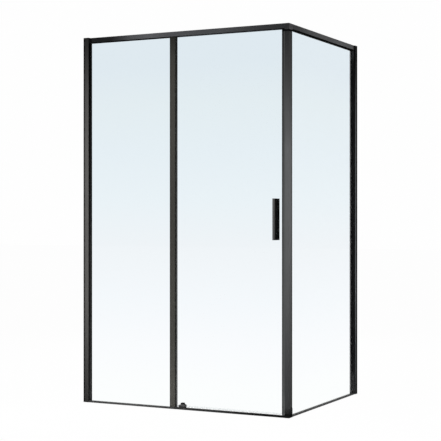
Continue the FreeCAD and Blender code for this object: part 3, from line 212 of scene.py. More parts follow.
def cover(w, shader, mask, other):
    """Show another shader in place of a material's surface where a mask is one."""
    both = w.node("MixShader", {}, {0: mask, 1: Wire(w.tree, shader.outputs[0]), 2: other})
    output = next(node for node in w.tree.nodes if node.bl_idname == "ShaderNodeOutputMaterial")
    both.feed(output, "Surface")


def place_along(w, axis):
    """The place on the object along X, Y or Z, in metres."""
    return w.node("SeparateXYZ", {}, {0: w.node("TexCoord", out="Object")}, out="XYZ".index(axis))


def facing_right(w):
    """One on the faces that look to +X."""
    return w.node("SeparateXYZ", {}, {0: w.node("NewGeometry", out="Normal")}, out=0) > 0.5


def painted_light_along(w, axis, stops, cast=(1, 1, 1)):
    """A grey along an extrusion, painted light and shade; stops are (metres along the axis, grey)."""
    start, end = stops[0][0], stops[-1][0]
    tones = [((place - start) / (end - start), tuple(tone * part for part in cast)) for place, tone in stops]
    return ((place_along(w, axis) - start) / (end - start)).ramp(*tones)


def noise(w, scale, detail, rough=0.5, stretch=None):
    """Noise that is fixed to the object, drawn out along an axis if it is stretched."""
    spot = w.node("TexCoord", out="Object")
    if stretch:
        spot = w.node("Mapping", {}, {"Vector": spot, "Scale": stretch})
    return w.node("TexNoise", {}, {"Vector": spot, "Scale": scale, "Detail": detail, "Roughness": rough})


def powder_coat(name, axis, stops, cast=(1, 1, 1), shine=0.05, other=None, joint=None, across=None):
    """Black powder coat: orange peel, faint clouds and flecks, and a grey that varies along the bar.

    The grey along the bar is painted light and shade. other holds a mask and the stops that are used
    inside it, painted light and shade on those faces. The shade mask marks the places painted matt
    black as shade. across holds an axis and stops along it that darken or lift the grey, as painted
    shade and highlight across the face.
    """
    made, w, shader = surface(name, {"IOR": 1.5, "Specular IOR Level": shine})
    peel, cloud, fleck = noise(w, 850.0, 2.0, 0.55), noise(w, 11.0, 5.0, 0.6), noise(w, 2600.0, 1.0)
    grey = painted_light_along(w, axis, stops, cast)
    if other:
        mask, inside = other
        grey = w.node("Mix", {"data_type": "RGBA"},
                      {0: mask(w), 6: grey, 7: painted_light_along(w, axis, inside, cast)}, out=2)
    if across:
        grey = grey.tinted(painted_light_along(w, *across))
    uneven = (cloud * 0.8 + fleck * 0.2).ramp((0.3, (0.9, 0.9, 0.9)), (0.7, (1.0, 1.0, 1.0)))
    grey.tinted(uneven).feed(shader, "Base Color")
    (cloud * 0.16 + peel * 0.08 + 0.3).feed(shader, "Roughness")
    peel.emboss(shader, 0.22, 0.0004)
    # Painted shade: a matt black surface stands where the shade mask is one.
    if joint:
        black = w.node("BsdfPrincipled", {}, {"Base Color": (0.004, 0.004, 0.0045, 1), "Roughness": 0.9,
                                              "Specular IOR Level": 0.0})
        cover(w, shader, joint(w), black)
    return made


def give(material, *nodes):
    """Finish CAD nodes in a material."""
    for name in nodes:
        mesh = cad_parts[name].data
        mesh.materials.clear()
        mesh.materials.append(material)


# Painted light and shade: each grey is lighter at mid-height and darker at the ends. The left profile's +X
# faces are painted matt black as shade, and its face darkens towards the wall edge. The rear profile is a
# darker, shaded copy of the coat. Its +X faces are painted lighter, and its part nearer the wall is painted
# near black as shade.
give(powder_coat("black_coat_wall_left", "Z",
                 [(0, 0.032), (0.07, 0.041), (0.28, 0.062), (0.55, 0.086), (0.81, 0.08), (1.08, 0.081),
                  (1.35, 0.09), (1.61, 0.083), (1.82, 0.044), (1.95, 0.02)],
                 (1, 0.97, 0.94), joint=facing_right,
                 across=("X", [(-0.6, 0.0), (-0.5965, 0.1), (-0.5925, 0.5), (-0.587, 0.96), (-0.577, 1.0)])),
     "wall_profile_left")
give(powder_coat("black_coat_wall_rear", "Z", [(0, 0.03), (0.1, 0.02), (0.2, 0.009), (1.95, 0.006)],
                 (0.96, 1.0, 1.05), shine=0.0,
                 other=(facing_right,
                        [(0, 0.05), (0.14, 0.11), (0.25, 0.12), (0.41, 0.2), (0.64, 0.25), (0.86, 0.24),
                         (1.09, 0.21), (1.535, 0.2), (1.7, 0.12), (1.815, 0.06), (1.87, 0.036),
                         (1.95, 0.036)]),
                 across=("Y", [(0.4455, 1.0), (0.4565, 1.0), (0.4585, 0.04), (0.4775, 0.02)])),
     "wall_profile_rear")


# WALL PROFILE CAPS. Black nylon covers pressed into the tops of the wall profiles: a flat plate with
# softened edges over two plugs that grip the profile's hollow boxes.
def moulded(name, dark, light, shine, along=None):
    """Injection-moulded plastic: fine spark grain, faint flow marks and a grey that may vary upwards."""
    made, w, shader = surface(name, {"IOR": 1.5, "Specular IOR Level": shine})
    spot = w.node("TexCoord", out="Object")
    grain = w.node("TexVoronoi", {}, {"Vector": spot, "Scale": 1500.0})
    flow = w.node("TexNoise", {}, {"Vector": spot, "Scale": 30.0, "Detail": 4.0, "Distortion": 1.2})
    tone = flow.ramp((0.3, dark), (0.72, light))
    # Painted light and shade: a grey that varies upwards.
    if along:
        tone = painted_light_along(w, "Z", along).tinted(tone)
    tone.feed(shader, "Base Color")
    (flow * 0.15 + 0.42).feed(shader, "Roughness")
    grain.emboss(shader, 0.3, 0.0002)
    return made


def slab(name, low, high):
    """Add a block between two corners. It stays in edit mode."""
    low, high = Vector(low), Vector(high)
    bpy.ops.object.select_all(action="DESELECT")
    bpy.ops.mesh.primitive_cube_add(size=1, location=(low + high) / 2, scale=high - low)
    block = bpy.context.object
    block.name = block.data.name = name
    bpy.ops.object.transform_apply()
    bpy.ops.object.mode_set(mode="EDIT")
    return block


def choose(kind, test):
    """Select the faces or edges whose middle and normal, or direction, pass a test."""
    bpy.ops.mesh.select_mode(type=kind)
    bpy.ops.mesh.select_all(action="DESELECT")
    bpy.ops.object.mode_set(mode="OBJECT")
    mesh = bpy.context.object.data
    if kind == "FACE":
        for face in mesh.polygons:
            face.select = test(face.center, face.normal)
    else:
        for edge in mesh.edges:
            one, two = (mesh.vertices[corner].co for corner in edge.vertices)
            edge.select = test((one + two) / 2, (two - one).normalized())
    bpy.ops.object.mode_set(mode="EDIT")


def between(place, ends):
    """True if a place lies between two ends."""
    return ends[0] < place < ends[1]


def centre(node):
    """The middle of a CAD node's box."""
    low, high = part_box(node)
    return (low + high) / 2


def score(axis, *places):
    """Cut edges all round the piece at these places along an axis."""
    for place in places:
        at, across = Vector(), Vector()
        at["XYZ".index(axis)], across["XYZ".index(axis)] = place, 1
        bpy.ops.mesh.select_all(action="SELECT")
        bpy.ops.mesh.bisect(plane_co=at, plane_no=across, threshold=1e-5)


def pull(x, y, z):
    """Extrude what is selected."""
    bpy.ops.mesh.extrude_region_move(TRANSFORM_OT_translate={"value": (x, y, z)})


def soften(piece, width, segments=2):
    """Round the sharp edges, drop slivers that a cut left, shade the rest smooth and leave edit mode."""
    if piece.mode == "EDIT":
        bpy.ops.object.mode_set(mode="OBJECT")
    if width:
        rounded = piece.modifiers.new("soft_edges", "BEVEL")
        rounded.width, rounded.segments, rounded.limit_method = width, segments, "ANGLE"
        rounded.angle_limit = math.radians(40)
        bpy.ops.object.modifier_apply(modifier=rounded.name)
    bpy.ops.object.mode_set(mode="EDIT")
    bpy.ops.mesh.select_all(action="SELECT")
    bpy.ops.mesh.dissolve_degenerate(threshold=1e-6)
    bpy.ops.object.mode_set(mode="OBJECT")
    bpy.ops.object.shade_smooth_by_angle(angle=math.radians(35))


def again(piece, name, matrix):
    """Copy a piece with its own mesh and set the copy in its place."""
    bpy.ops.object.select_all(action="DESELECT")
    piece.select_set(True)
    bpy.context.view_layer.objects.active = piece
    bpy.ops.object.duplicate()
    twin = bpy.context.object
    twin.name = twin.data.name = name
    twin.matrix_world = matrix
    bpy.ops.object.transform_apply()
    return twin


def carry(piece, body, slot, material, *nodes):
    """Finish a piece, hang it on its body and let it stand for its CAD nodes."""
    piece.data.materials.clear()
    piece.data.materials.append(material)
    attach(piece, body)
    if nodes:
        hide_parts(*nodes)


black_moulding = moulded("black_moulding", (0.005, 0.005, 0.0055), (0.009, 0.009, 0.0095), 0.0)
low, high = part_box("wall_profile_cap_left")
plate, plug, inset = 0.003, 0.008, 0.0021
hair = 1e-5  # what lies this near to a face counts as on it
front_plug, back_plug = (low.y + inset, low.y + 0.0079), (low.y + 0.0247, high.y - inset)
cap = slab("profile_cover_left", (low.x, low.y, high.z - plate), high)
choose("EDGE", lambda mid, way: mid.z > high.z - hair)
bpy.ops.mesh.bevel(offset=0.0011, segments=4)
score("X", low.x + inset, high.x - inset)
score("Y", *front_plug, *back_plug)
choose("FACE", lambda mid, way: way.z < -0.5 and between(mid.x, (low.x + inset, high.x - inset))
       and (between(mid.y, front_plug) or between(mid.y, back_plug)))
pull(0, 0, -plug)
soften(cap, 0.0004)
rear_place = (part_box("wall_profile_cap_rear")[1].x, centre("wall_profile_cap_rear").y, 0)
turned_cap = again(cap, "profile_cover_rear",
                   Matrix.Translation(rear_place) @ Matrix.Rotation(math.pi / 2, 4, "Z")
                   @ Matrix.Translation((-centre("wall_profile_cap_left").x, -low.y, 0)))
carry(cap, "root", "black_plastic", black_moulding, "wall_profile_cap_left")
carry(turned_cap, "root", "black_plastic", black_moulding, "wall_profile_cap_rear")


# INNER FRAMES. Slimmer extrusions that slide in the wall profiles to take up the walls' lean, and hold
# the panes' edges. Three screws on the inside lock each, under black snap caps.
def aimed(where, toward):
    """The place and turn of a screw, roller or pin that was made standing on the origin."""
    return (Matrix.Translation(where)
            @ Vector((0, 0, 1)).rotation_difference(Vector(toward)).to_matrix().to_4x4())


def drawn(name, points):
    """Draw a line through points: a vertex, then extruded from point to point."""
    bpy.ops.object.select_all(action="DESELECT")
    bpy.ops.mesh.primitive_plane_add(size=0.001, location=points[0])
    line = bpy.context.object
    line.name = line.data.name = name
    bpy.ops.object.transform_apply()
    bpy.ops.object.mode_set(mode="EDIT")
    bpy.ops.mesh.select_mode(type="VERT")
    bpy.ops.mesh.select_all(action="SELECT")
    bpy.ops.mesh.merge(type="CENTER")
    for here, there in zip(points, points[1:]):
        pull(*(Vector(there) - Vector(here)))
    bpy.ops.mesh.select_all(action="SELECT")
    return line


def turned(name, outline, steps):
    """Turn a half section of (radius, height) about the vertical through the origin."""
    part = drawn(name, [(radius, 0, up) for radius, up in outline])
    bpy.ops.mesh.spin(steps=steps, angle=2 * math.pi, center=(0, 0, 0), axis=(0, 0, 1))
    bpy.ops.mesh.select_all(action="SELECT")
    bpy.ops.mesh.remove_doubles(threshold=1e-6)
    bpy.ops.mesh.normals_make_consistent(inside=False)
    soften(part, 0)
    return part


def cut(piece, tool):
    """Take a tool's shape out of a piece and throw the tool away."""
    if tool.mode == "EDIT":
        bpy.ops.object.mode_set(mode="OBJECT")
    bpy.ops.object.select_all(action="DESELECT")
    piece.select_set(True)
    bpy.context.view_layer.objects.active = piece
    hollow = piece.modifiers.new("hollow", "BOOLEAN")
    hollow.operation, hollow.solver, hollow.object = "DIFFERENCE", "EXACT", tool
    bpy.ops.object.modifier_apply(modifier=hollow.name)
    bpy.data.objects.remove(tool)


def rod(where, toward, radius, long, sides=32):
    """A drill that starts at a point and runs one way."""
    bpy.ops.object.select_all(action="DESELECT")
    bpy.ops.mesh.primitive_cylinder_add(vertices=sides, radius=radius, depth=long)
    drill = bpy.context.object
    drill.matrix_world = aimed(where, toward) @ Matrix.Translation((0, 0, long / 2))
    bpy.ops.object.transform_apply()
    return drill


def pan_screw(name, radius, long, head_radius, head_high):
    """A pan-head screw standing head up on the origin: rolled thread, domed head, hexagon socket."""
    pitch, shank, tip, groove = 0.0007, 0.0006, 0.001, radius * 0.82
    outline = [(0, head_high), (head_radius * 0.55, head_high), (head_radius * 0.82, head_high * 0.86),
               (head_radius * 0.96, head_high * 0.55), (head_radius, head_high * 0.2), (head_radius, 0),
               (radius, 0), (radius, -shank)]
    for turn in range(int((long - shank - tip) / pitch)):
        outline += [(groove, -shank - pitch * (turn + 0.5)), (radius, -shank - pitch * (turn + 1))]
    outline += [(radius * 0.6, -long), (0, -long)]
    screw = turned(name, outline, 20)
    cut(screw, rod((0, 0, head_high * 0.35), (0, 0, 1), head_radius * 0.45, 0.004, 6))
    soften(screw, 0)
    return screw


def steel(name, tone):
    """Stainless steel with a fine brushed line and cloudy gloss."""
    made, w, shader = surface(name, {"Metallic": 1.0})
    brush, cloud = noise(w, 2400.0, 3.0, stretch=(0.06, 1.0, 1.0)), noise(w, 60.0, 3.0)
    dull = tuple(0.84 * part for part in tone)
    (brush * 0.6 + cloud * 0.4).ramp((0.25, dull), (0.75, tone)).feed(shader, "Base Color")
    (brush * 0.18 + cloud * 0.1 + 0.2).feed(shader, "Roughness")
    brush.emboss(shader, 0.12, 0.0001)
    return made


# Painted light and shade: the left inner frame's grey darkens towards the top. The rear one's is lighter near
# the floor and at the top.
give(powder_coat("black_coat_inner_left", "Z",
                 [(0, 0.07), (0.068, 0.07), (0.281, 0.042), (0.547, 0.034), (0.813, 0.031), (1.079, 0.0185),
                  (1.345, 0.0145), (1.61, 0.006), (1.823, 0.003), (1.95, 0.003)], shine=0.0),
     "inner_frame_left")
give(powder_coat("black_coat_inner_rear", "Z",
                 [(0, 0.1), (0.1, 0.1), (0.115, 0.04), (0.15, 0.03), (0.3, 0.024), (1.78, 0.024),
                  (1.86, 0.03), (1.9, 0.08), (1.95, 0.08)], shine=0.0),
     "inner_frame_rear")
bright_steel = steel("stainless_steel_brushed", (0.62, 0.61, 0.59))
left_wall, front_face = cad_box[0].x, cad_box[0].y
right_face, rear_wall = cad_box[1].x, cad_box[1].y
lock_levels, lock_in = (0.25, 0.975, 1.7), 0.016
left_spots = [(left_wall + lock_in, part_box("wall_profile_left")[1].y, up) for up in lock_levels]
rear_spots = [(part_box("wall_profile_rear")[0].x, rear_wall - lock_in, up) for up in lock_levels]
pattern = pan_screw("frame_lock_screw", 0.002, 0.0174, 0.0036, 0.0016)
snap = turned("snap_cap", [(0, 0.004), (0.0022, 0.0039), (0.0041, 0.0035), (0.0052, 0.0028),
                           (0.0057, 0.0018), (0.0058, 0.0008), (0.006, 0.0006), (0.006, 0), (0.0048, 0),
                           (0.0047, 0.0014), (0.0038, 0.0024), (0, 0.0026)], 32)
for side, spots, toward in (("left", left_spots, (0, 1, 0)), ("rear", rear_spots, (-1, 0, 0))):
    for number, spot in enumerate(spots, 1):
        carry(again(pattern, f"frame_lock_screw_{side}_{number}", aimed(spot, toward)), "root",
              "stainless_steel", bright_steel, "frame_screws")
        carry(again(snap, f"snap_cap_{side}_{number}", aimed(spot, toward)), "root",
              "black_plastic", black_moulding, "frame_screw_caps")
bpy.data.objects.remove(pattern)
bpy.data.objects.remove(snap)


# BOTTOM RAILS. Low extruded strips on the tray, with a shallow groove in which the fixed panes stand on
# rubber blocks, and the threshold: a thin plate with a raised front lip, under the door.
# Painted light and shade: the front sill is lighter in its middle, the threshold darkens towards the corner
# post, and the side sill is a little lighter towards the back.
give(powder_coat("black_coat_front_sill", "X", [(-0.57, 0.05), (-0.3, 0.07), (-0.05, 0.05), (0.58, 0.05)],
                 shine=0.1), "front_bottom_rail")
give(powder_coat("black_coat_threshold", "X",
                 [(-0.1, 0.042), (0, 0.045), (0.19, 0.034), (0.31, 0.024), (0.43, 0.01), (0.52, 0.012),
                  (0.56, 0.009), (0.58, 0.01)], shine=0.0), "door_threshold")
give(powder_coat("black_coat_side_sill", "Y", [(-0.45, 0.04), (0.1, 0.044), (0.45, 0.044)]),
     "side_bottom_rail")


# CORNER FOOT. A black nylon shoe on the tray: a floor plate, two thin walls that wrap the outer faces
# of the corner post, a plug that stands up in the post and a notch for the side pane's corner.
low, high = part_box("corner_foot")
plate, skin, plug, corner_round = 0.003, 0.0015, 0.02, 0.0012
over = 0.002  # how far a cut runs past the face that it opens
plug_x, plug_y = (low.x + 0.0021, low.x + 0.0204), (low.y + 0.0036, low.y + 0.0276)
foot = slab("corner_shoe", low, (high.x, high.y, low.z + plate))
score("X", *plug_x, high.x - skin)
score("Y", low.y + skin, *plug_y)
choose("FACE", lambda mid, way: way.z > 0.5 and (mid.y < low.y + skin or mid.x > high.x - skin))
pull(0, 0, high.z - low.z - plate)
choose("FACE", lambda mid, way: way.z > 0.5 and mid.z < low.z + plate + hair
       and between(mid.x, plug_x) and between(mid.y, plug_y))
pull(0, 0, plug)
choose("EDGE", lambda mid, way: abs(way.z) > 0.9 and mid.x > high.x - hair and mid.y < low.y + hair)
bpy.ops.mesh.bevel(offset=corner_round, segments=4)
bpy.ops.object.mode_set(mode="OBJECT")
cut(foot, slab("notch", (low.x + 0.0044, low.y + 0.0297, low.z + 0.0012),
               (low.x + 0.011, high.y + over, low.z + 0.006)))
soften(foot, 0.0003)
# Painted shade: the shoe's grey is darker near the floor and lighter towards its top.
shoe_moulding = moulded("black_moulding_shoe", (0.85, 0.85, 0.85), (1.0, 1.0, 1.0), 0.0,
                        along=[(0, 0.01), (0.012, 0.009), (0.0195, 0.008), (0.024, 0.024), (0.0285, 0.02),
                               (0.034, 0.023), (0.039, 0.03), (0.045, 0.037)])
carry(foot, "root", "black_plastic", shoe_moulding, "corner_foot")


# CORNER POST. The hollow upright between the front and the side pane, powder coated like the profiles.
# It stands on the foot's plug, and its pocket holds the side pane's front edge.
# Painted light and shade: the grey is lighter at mid-height and darker at the ends. The +X faces take their
# own painted tones, and the side face darkens towards the back.
give(powder_coat("black_coat_corner_post", "Z",
                 [(0, 0.038), (0.136, 0.047), (0.333, 0.058), (0.58, 0.073), (0.826, 0.078), (1.072, 0.087),
                  (1.319, 0.098), (1.565, 0.069), (1.762, 0.043), (1.95, 0.022)],
                 (0.98, 1.0, 1.02), shine=0.03,
                 other=(facing_right,
                        [(0, 0.028), (0.136, 0.032), (0.333, 0.052), (0.58, 0.067), (0.826, 0.097),
                         (1.072, 0.107), (1.319, 0.118), (1.565, 0.065), (1.762, 0.031), (1.95, 0.016)]),
                 across=("Y", [(-0.4775, 1.0), (-0.448, 1.0), (-0.4465, 0.5), (-0.43, 0.4)])),
     "corner_post")


# CORNER CONNECTOR. A black nylon moulding pressed into the top of the post: a block level with the
# rails, a recessed neck under it, a plug down into the post and a tenon into each rail.
low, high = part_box("corner_top_connector")
rail_deep, glass_line, tenon_reach, screw_hole, screw_in = 0.043, 0.0163, 0.025, 0.002, 0.012
block_wide, skirt, neck, neck_inset, plug = 0.024, 0.03, 0.01, 0.0025, 0.015
block_low = Vector((high.x - block_wide, low.y, high.z - skirt))
plug_x, plug_y = (block_low.x + 0.0021, high.x - 0.0036), (low.y + 0.0036, low.y + 0.0276)
tenon_x, tenon_y = (block_low.x + 0.0036, block_low.x + 0.0118), (low.y + 0.0122, low.y + 0.0204)
tenon_z = (high.z - 0.0077, high.z - 0.002)
corner = slab("corner_block", block_low, (high.x, low.y + rail_deep, high.z))
score("X", *plug_x, high.x - neck_inset)
score("Y", low.y + neck_inset, *plug_y)
choose("FACE", lambda mid, way: way.z < -0.5
       and mid.y > low.y + neck_inset and mid.x < high.x - neck_inset)
pull(0, 0, -neck)
choose("FACE", lambda mid, way: way.z < -0.5 and mid.z < block_low.z - neck + hair
       and between(mid.x, plug_x) and between(mid.y, plug_y))
pull(0, 0, -plug)
score("Z", *tenon_z)
score("Y", *tenon_y)
choose("FACE", lambda mid, way: way.x < -0.5 and mid.x < block_low.x + hair
       and between(mid.z, tenon_z) and between(mid.y, tenon_y))
pull(-tenon_reach, 0, 0)
score("X", *tenon_x)
choose("FACE", lambda mid, way: way.y > 0.5 and mid.y > low.y + rail_deep - hair
       and between(mid.z, tenon_z) and between(mid.x, tenon_x))
pull(0, tenon_reach, 0)
choose("EDGE", lambda mid, way: abs(way.z) > 0.9 and mid.x > high.x - hair and mid.y < low.y + hair)
bpy.ops.mesh.bevel(offset=corner_round, segments=4)
bpy.ops.object.mode_set(mode="OBJECT")
cut(corner, slab("pane_slot", (block_low.x + 0.0034, low.y + 0.0297, high.z - 0.05),
                 (block_low.x + 0.012, low.y + rail_deep + over, high.z - 0.0095)))
for x, y in ((block_low.x - screw_in, low.y + glass_line),
             (high.x - glass_line, low.y + rail_deep + screw_in)):
    cut(corner, rod((x, y, high.z - 0.01), (0, 0, 1), screw_hole, 0.02))
soften(corner, 0.0003)
carry(corner, "root", "black_plastic",
      moulded("black_moulding_block", (0.026, 0.026, 0.027), (0.034, 0.034, 0.034), 0.03),
      "corner_top_connector")
corner.data.materials.append(black_moulding)
corner.data.materials.append(
    moulded("black_moulding_block_side", (0.066, 0.064, 0.066), (0.08, 0.077, 0.08), 0.03))
# Painted light and shade: the block's front takes a lighter copy of the black moulding and its +X side
# a lighter one still, while the recessed neck and plug keep the darker black moulding.
for face in corner.data.polygons:
    if face.center.z < block_low.z + 0.0001:
        face.material_index = 1
    elif face.normal.x > 0.7 and face.center.x > high.x - 0.001:
        face.material_index = 2


# RAIL CONNECTORS. Black nylon elbows at the walls: a leg down in the inner frame, a tenon in the rail
# and, between wall profile and rail, a collar of the rail's own outline.
def settle(piece, name, matrix):
    """Copy a piece to its place, mirrored if the matrix is, with its faces turned outwards again."""
    copied = again(piece, name, matrix)
    bpy.ops.object.mode_set(mode="EDIT")
    bpy.ops.mesh.select_all(action="SELECT")
    bpy.ops.mesh.normals_make_consistent(inside=False)
    bpy.ops.object.mode_set(mode="OBJECT")
    return copied


rail_high, collar = 0.0245, (0.032, 0.052)
leg_reach, leg_side, leg = 0.0224, 0.0216, 0.0368
tenon_y, tenon_z = (0.0122, 0.0204), (0.0168, 0.0225)


def elbow(deep):
    """Model an elbow with the wall at x 0, the outer face at y 0 and the rails' bottom at z 0."""
    part = slab("elbow", (collar[0], 0, 0), (collar[1], deep, rail_high))
    score("Y", *tenon_y)
    score("Z", *tenon_z)
    choose("FACE", lambda mid, way: way.x > 0.5 and between(mid.y, tenon_y) and between(mid.z, tenon_z))
    pull(tenon_reach, 0, 0)
    choose("FACE", lambda mid, way: way.x < -0.5 and between(mid.y, tenon_y) and between(mid.z, tenon_z))
    pull(-leg_reach, 0, 0)
    score("X", leg_side)
    choose("FACE", lambda mid, way: way.z < -0.5 and mid.x < leg_side)
    pull(0, 0, -leg)
    bpy.ops.object.mode_set(mode="OBJECT")
    cut(part, slab("pane_slot", (collar[0] - over, 0.012, -over), (collar[1] + over, 0.0206, 0.015)))
    cut(part, rod((collar[1] + screw_in, glass_line, 0.018), (0, 0, 1), screw_hole, 0.01))
    soften(part, 0.0003)
    return part


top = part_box("front_top_rail")[1].z
underside = top - rail_high
for name, deep, matrix in (
        ("left", rail_deep, Matrix.Translation((left_wall, front_face, underside))),
        ("rear", 0.0236, Matrix(((0, -1, 0, right_face), (-1, 0, 0, rear_wall), (0, 0, 1, underside),
                                 (0, 0, 0, 1))))):
    pattern = elbow(deep)
    carry(settle(pattern, "rail_elbow_" + name, matrix), "root", "black_plastic", black_moulding,
          "rail_connector_" + name)
    bpy.data.objects.remove(pattern)


# TOP RAILS. Hollow extrusions over both panes; the front one carries the track on which the door rolls.
# Short pan-head screws through their tops hold them to the connectors.
def rail_underside_shade(w):
    """One on the rails' undersides, which are painted black as shade."""
    return place_along(w, "Z") < underside + 0.0002


def spread(pattern, places, body, slot, material, node):
    """Copy a pattern to each named place, hang the copies on a body for a CAD node, and drop it."""
    for name, where, toward in places:
        carry(again(pattern, name, aimed(where, toward)), body, slot, material, node)
    bpy.data.objects.remove(pattern)


# Painted light and shade: the front rail's grey peaks left of its middle and darkens at both ends. The side
# rail's grows lighter towards the back and turns near black at the wall. The undersides are painted matt
# black as shade.
give(powder_coat("black_coat_front_rail", "X",
                 [(-0.55, 0.012), (-0.495, 0.012), (-0.43, 0.014), (-0.36, 0.05), (-0.306, 0.094),
                  (-0.182, 0.13), (-0.09, 0.1), (0.06, 0.09), (0.24, 0.083), (0.415, 0.05), (0.58, 0.03)],
                 (0.96, 0.98, 1.04), joint=rail_underside_shade), "front_top_rail")
give(powder_coat("black_coat_side_rail", "Y",
                 [(-0.44, 0.02), (-0.36, 0.025), (-0.23, 0.08), (-0.09, 0.09), (0.06, 0.095), (0.225, 0.14),
                  (0.396, 0.115), (0.404, 0.1), (0.408, 0.004), (0.45, 0.004)],
                 (0.97, 0.98, 1.03), joint=rail_underside_shade), "side_top_rail")
rail_spots = ((left_wall + collar[1] + screw_in, front_face + glass_line),
              (right_face - block_wide - screw_in, front_face + glass_line),
              (right_face - glass_line, front_face + rail_deep + screw_in),
              (right_face - glass_line, rear_wall - collar[1] - screw_in))
spread(pan_screw("rail_screw", 0.002, 0.006, 0.0036, 0.0016),
       [(f"rail_screw_{number}", (*spot, top), (0, 0, 1)) for number, spot in enumerate(rail_spots, 1)],
       "root", "stainless_steel", bright_steel, "connector_screws")


# FIXED PANES. Two sheets of 6 mm toughened glass with ground edges, which stand on thin rubber blocks
# in the bottom rails. A cool tint painted into the glass's colour, stronger towards the top, is a
# painted reflection of the room.
pane, w, shader = surface("clear_glass", {"Transmission Weight": 1.0, "Roughness": 0.0, "IOR": 1.25})
(place_along(w, "Z") / cad_box[1].z).ramp(
    (0.055, (0.971, 0.990, 0.990)), (0.16, (0.952, 0.971, 0.990)), (0.29, (0.905, 0.942, 0.971)),
    (0.42, (0.870, 0.910, 0.938)), (0.55, (0.825, 0.897, 0.934)), (0.68, (0.790, 0.870, 0.915)),
    (0.81, (0.770, 0.851, 0.887)), (0.915, (0.740, 0.824, 0.878))).feed(shader, "Base Color")
noise(w, 3.0, 2.0).emboss(shader, 0.02, 0.002)
cover(w, shader, w.node("LightPath", out="Is Shadow Ray"),
      w.node("BsdfTransparent", {}, {"Color": (0.93, 0.95, 0.96, 1)}))
give(pane, "fixed_glass", "side_glass")


def soft_material(name, dark, light, rough, shine, lines=0.0, along=None):
    """Rubber or vinyl: a dusty, slightly uneven surface, with die lines where it is extruded."""
    made, w, shader = surface(name, {"IOR": 1.5, "Specular IOR Level": shine})
    dust, raised = noise(w, 45.0, 6.0, 0.65), noise(w, 1800.0, 2.0)
    tone = dust.ramp((0.35, dark), (0.75, light))
    # Painted light and shade: a grey that varies upwards.
    if along:
        tone = painted_light_along(w, "Z", along).tinted(tone)
    tone.feed(shader, "Base Color")
    (dust * 0.15 + (rough - 0.07)).feed(shader, "Roughness")
    if lines:
        raised = raised * 0.4 + noise(w, lines, 1.0, stretch=(1.0, 1.0, 0.01))
    raised.emboss(shader, 0.2, 0.0002)
    return made


rubber = soft_material("black_rubber", (0.005, 0.005, 0.005), (0.009, 0.009, 0.0085), 0.7, 0.02)
give(rubber, "setting_blocks")


# MID POST. The upright on the fixed pane's free edge, located by two plugs in the rails. Its coat is a
# shade browner than the other profiles'.
mid_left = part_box("mid_post")[0].x
# Painted light and shade: the grey is lightest near the floor, the +X faces are painted darker, and the face
# darkens towards its left edge.
give(powder_coat("black_coat_mid_post", "Z",
                 [(0, 0.088), (0.1, 0.086), (0.31, 0.062), (0.56, 0.051), (0.82, 0.043), (1.08, 0.04),
                  (1.33, 0.054), (1.59, 0.058), (1.79, 0.056), (1.92, 0.03)],
                 (1, 0.97, 0.85),
                 other=(facing_right, [(0, 0.028), (0.3, 0.017), (1.0, 0.019), (1.95, 0.036)]),
                 across=("X", [(mid_left, 0.0), (mid_left + 0.002, 0.3), (mid_left + 0.004, 1.0),
                               (mid_left + 0.03, 1.0)])),
     "mid_post")
give(black_moulding, "mid_post_plugs")


# GLAZING GASKETS. Black rubber channels pushed over the panes' edges in the profiles' pockets. Their
# rounded lips close the joint on both faces of the glass.
def extruded(name, outline, run):
    """Draw a closed outline, fill it and pull it out into a solid. It stays in edit mode."""
    part = drawn(name, outline + outline[:1])
    bpy.ops.mesh.remove_doubles(threshold=1e-6)
    bpy.ops.mesh.edge_face_add()
    pull(*run)
    bpy.ops.mesh.select_all(action="SELECT")
    bpy.ops.mesh.normals_make_consistent(inside=False)
    return part


wall, channel_wide = 0.0013, 0.0086


def channel_gasket(reach, long, lips=True):
    """A gasket standing on the origin, its back at x 0 and its legs towards +X. It stays in edit mode."""
    if lips:
        near = [(0, 0), (reach - 0.0002, 0.0), (reach, -0.0003), (reach + 0.0007, -0.0003),
                (reach + 0.0011, 0.0002), (reach + 0.0011, 0.0008), (reach + 0.0005, wall), (wall, wall)]
    else:
        near = [(0, 0), (reach, 0.0), (reach, wall), (wall, wall)]
    outline = near + [(x, channel_wide - y) for x, y in reversed(near)]
    return extruded("gasket_pattern", [(x, y, 0) for x, y in outline], (0, 0, long))


# Painted light and shade: the rear gasket's grey is lighter near the floor and the top, and darker between.
rubber_painted_light = soft_material("black_rubber_painted_light", (0.9, 0.9, 0.9), (1.0, 1.0, 1.0), 0.7, 0.0,
                             along=[(0, 0.05), (0.1, 0.05), (0.13, 0.02), (0.3, 0.012), (1.8, 0.012),
                                    (1.87, 0.025), (1.9, 0.06), (1.95, 0.06)])
upright_reach = 0.0133
for node, angle, mirror, coat in (("fixed_glass_gasket", 0, 1, rubber), ("mid_post_gasket", 0, -1, rubber),
                                  ("side_glass_rear_gasket", -90, 1, rubber_painted_light),
                                  ("side_glass_front_gasket", 90, 1, rubber)):
    low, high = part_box(node)
    strip = channel_gasket(upright_reach, high.z - low.z)
    soften(strip, 0)
    middle = Matrix.Translation((-upright_reach / 2, -channel_wide / 2, 0))
    where = Matrix.Translation((centre(node).x, centre(node).y, low.z))
    turn = Matrix.Rotation(math.radians(angle), 4, "Z") @ Matrix.Diagonal((mirror, 1, 1, 1))
    placed = settle(strip, "channel_" + node, where @ turn @ middle)
    carry(placed, "root", "black_rubber", coat, node)
    bpy.data.objects.remove(strip)

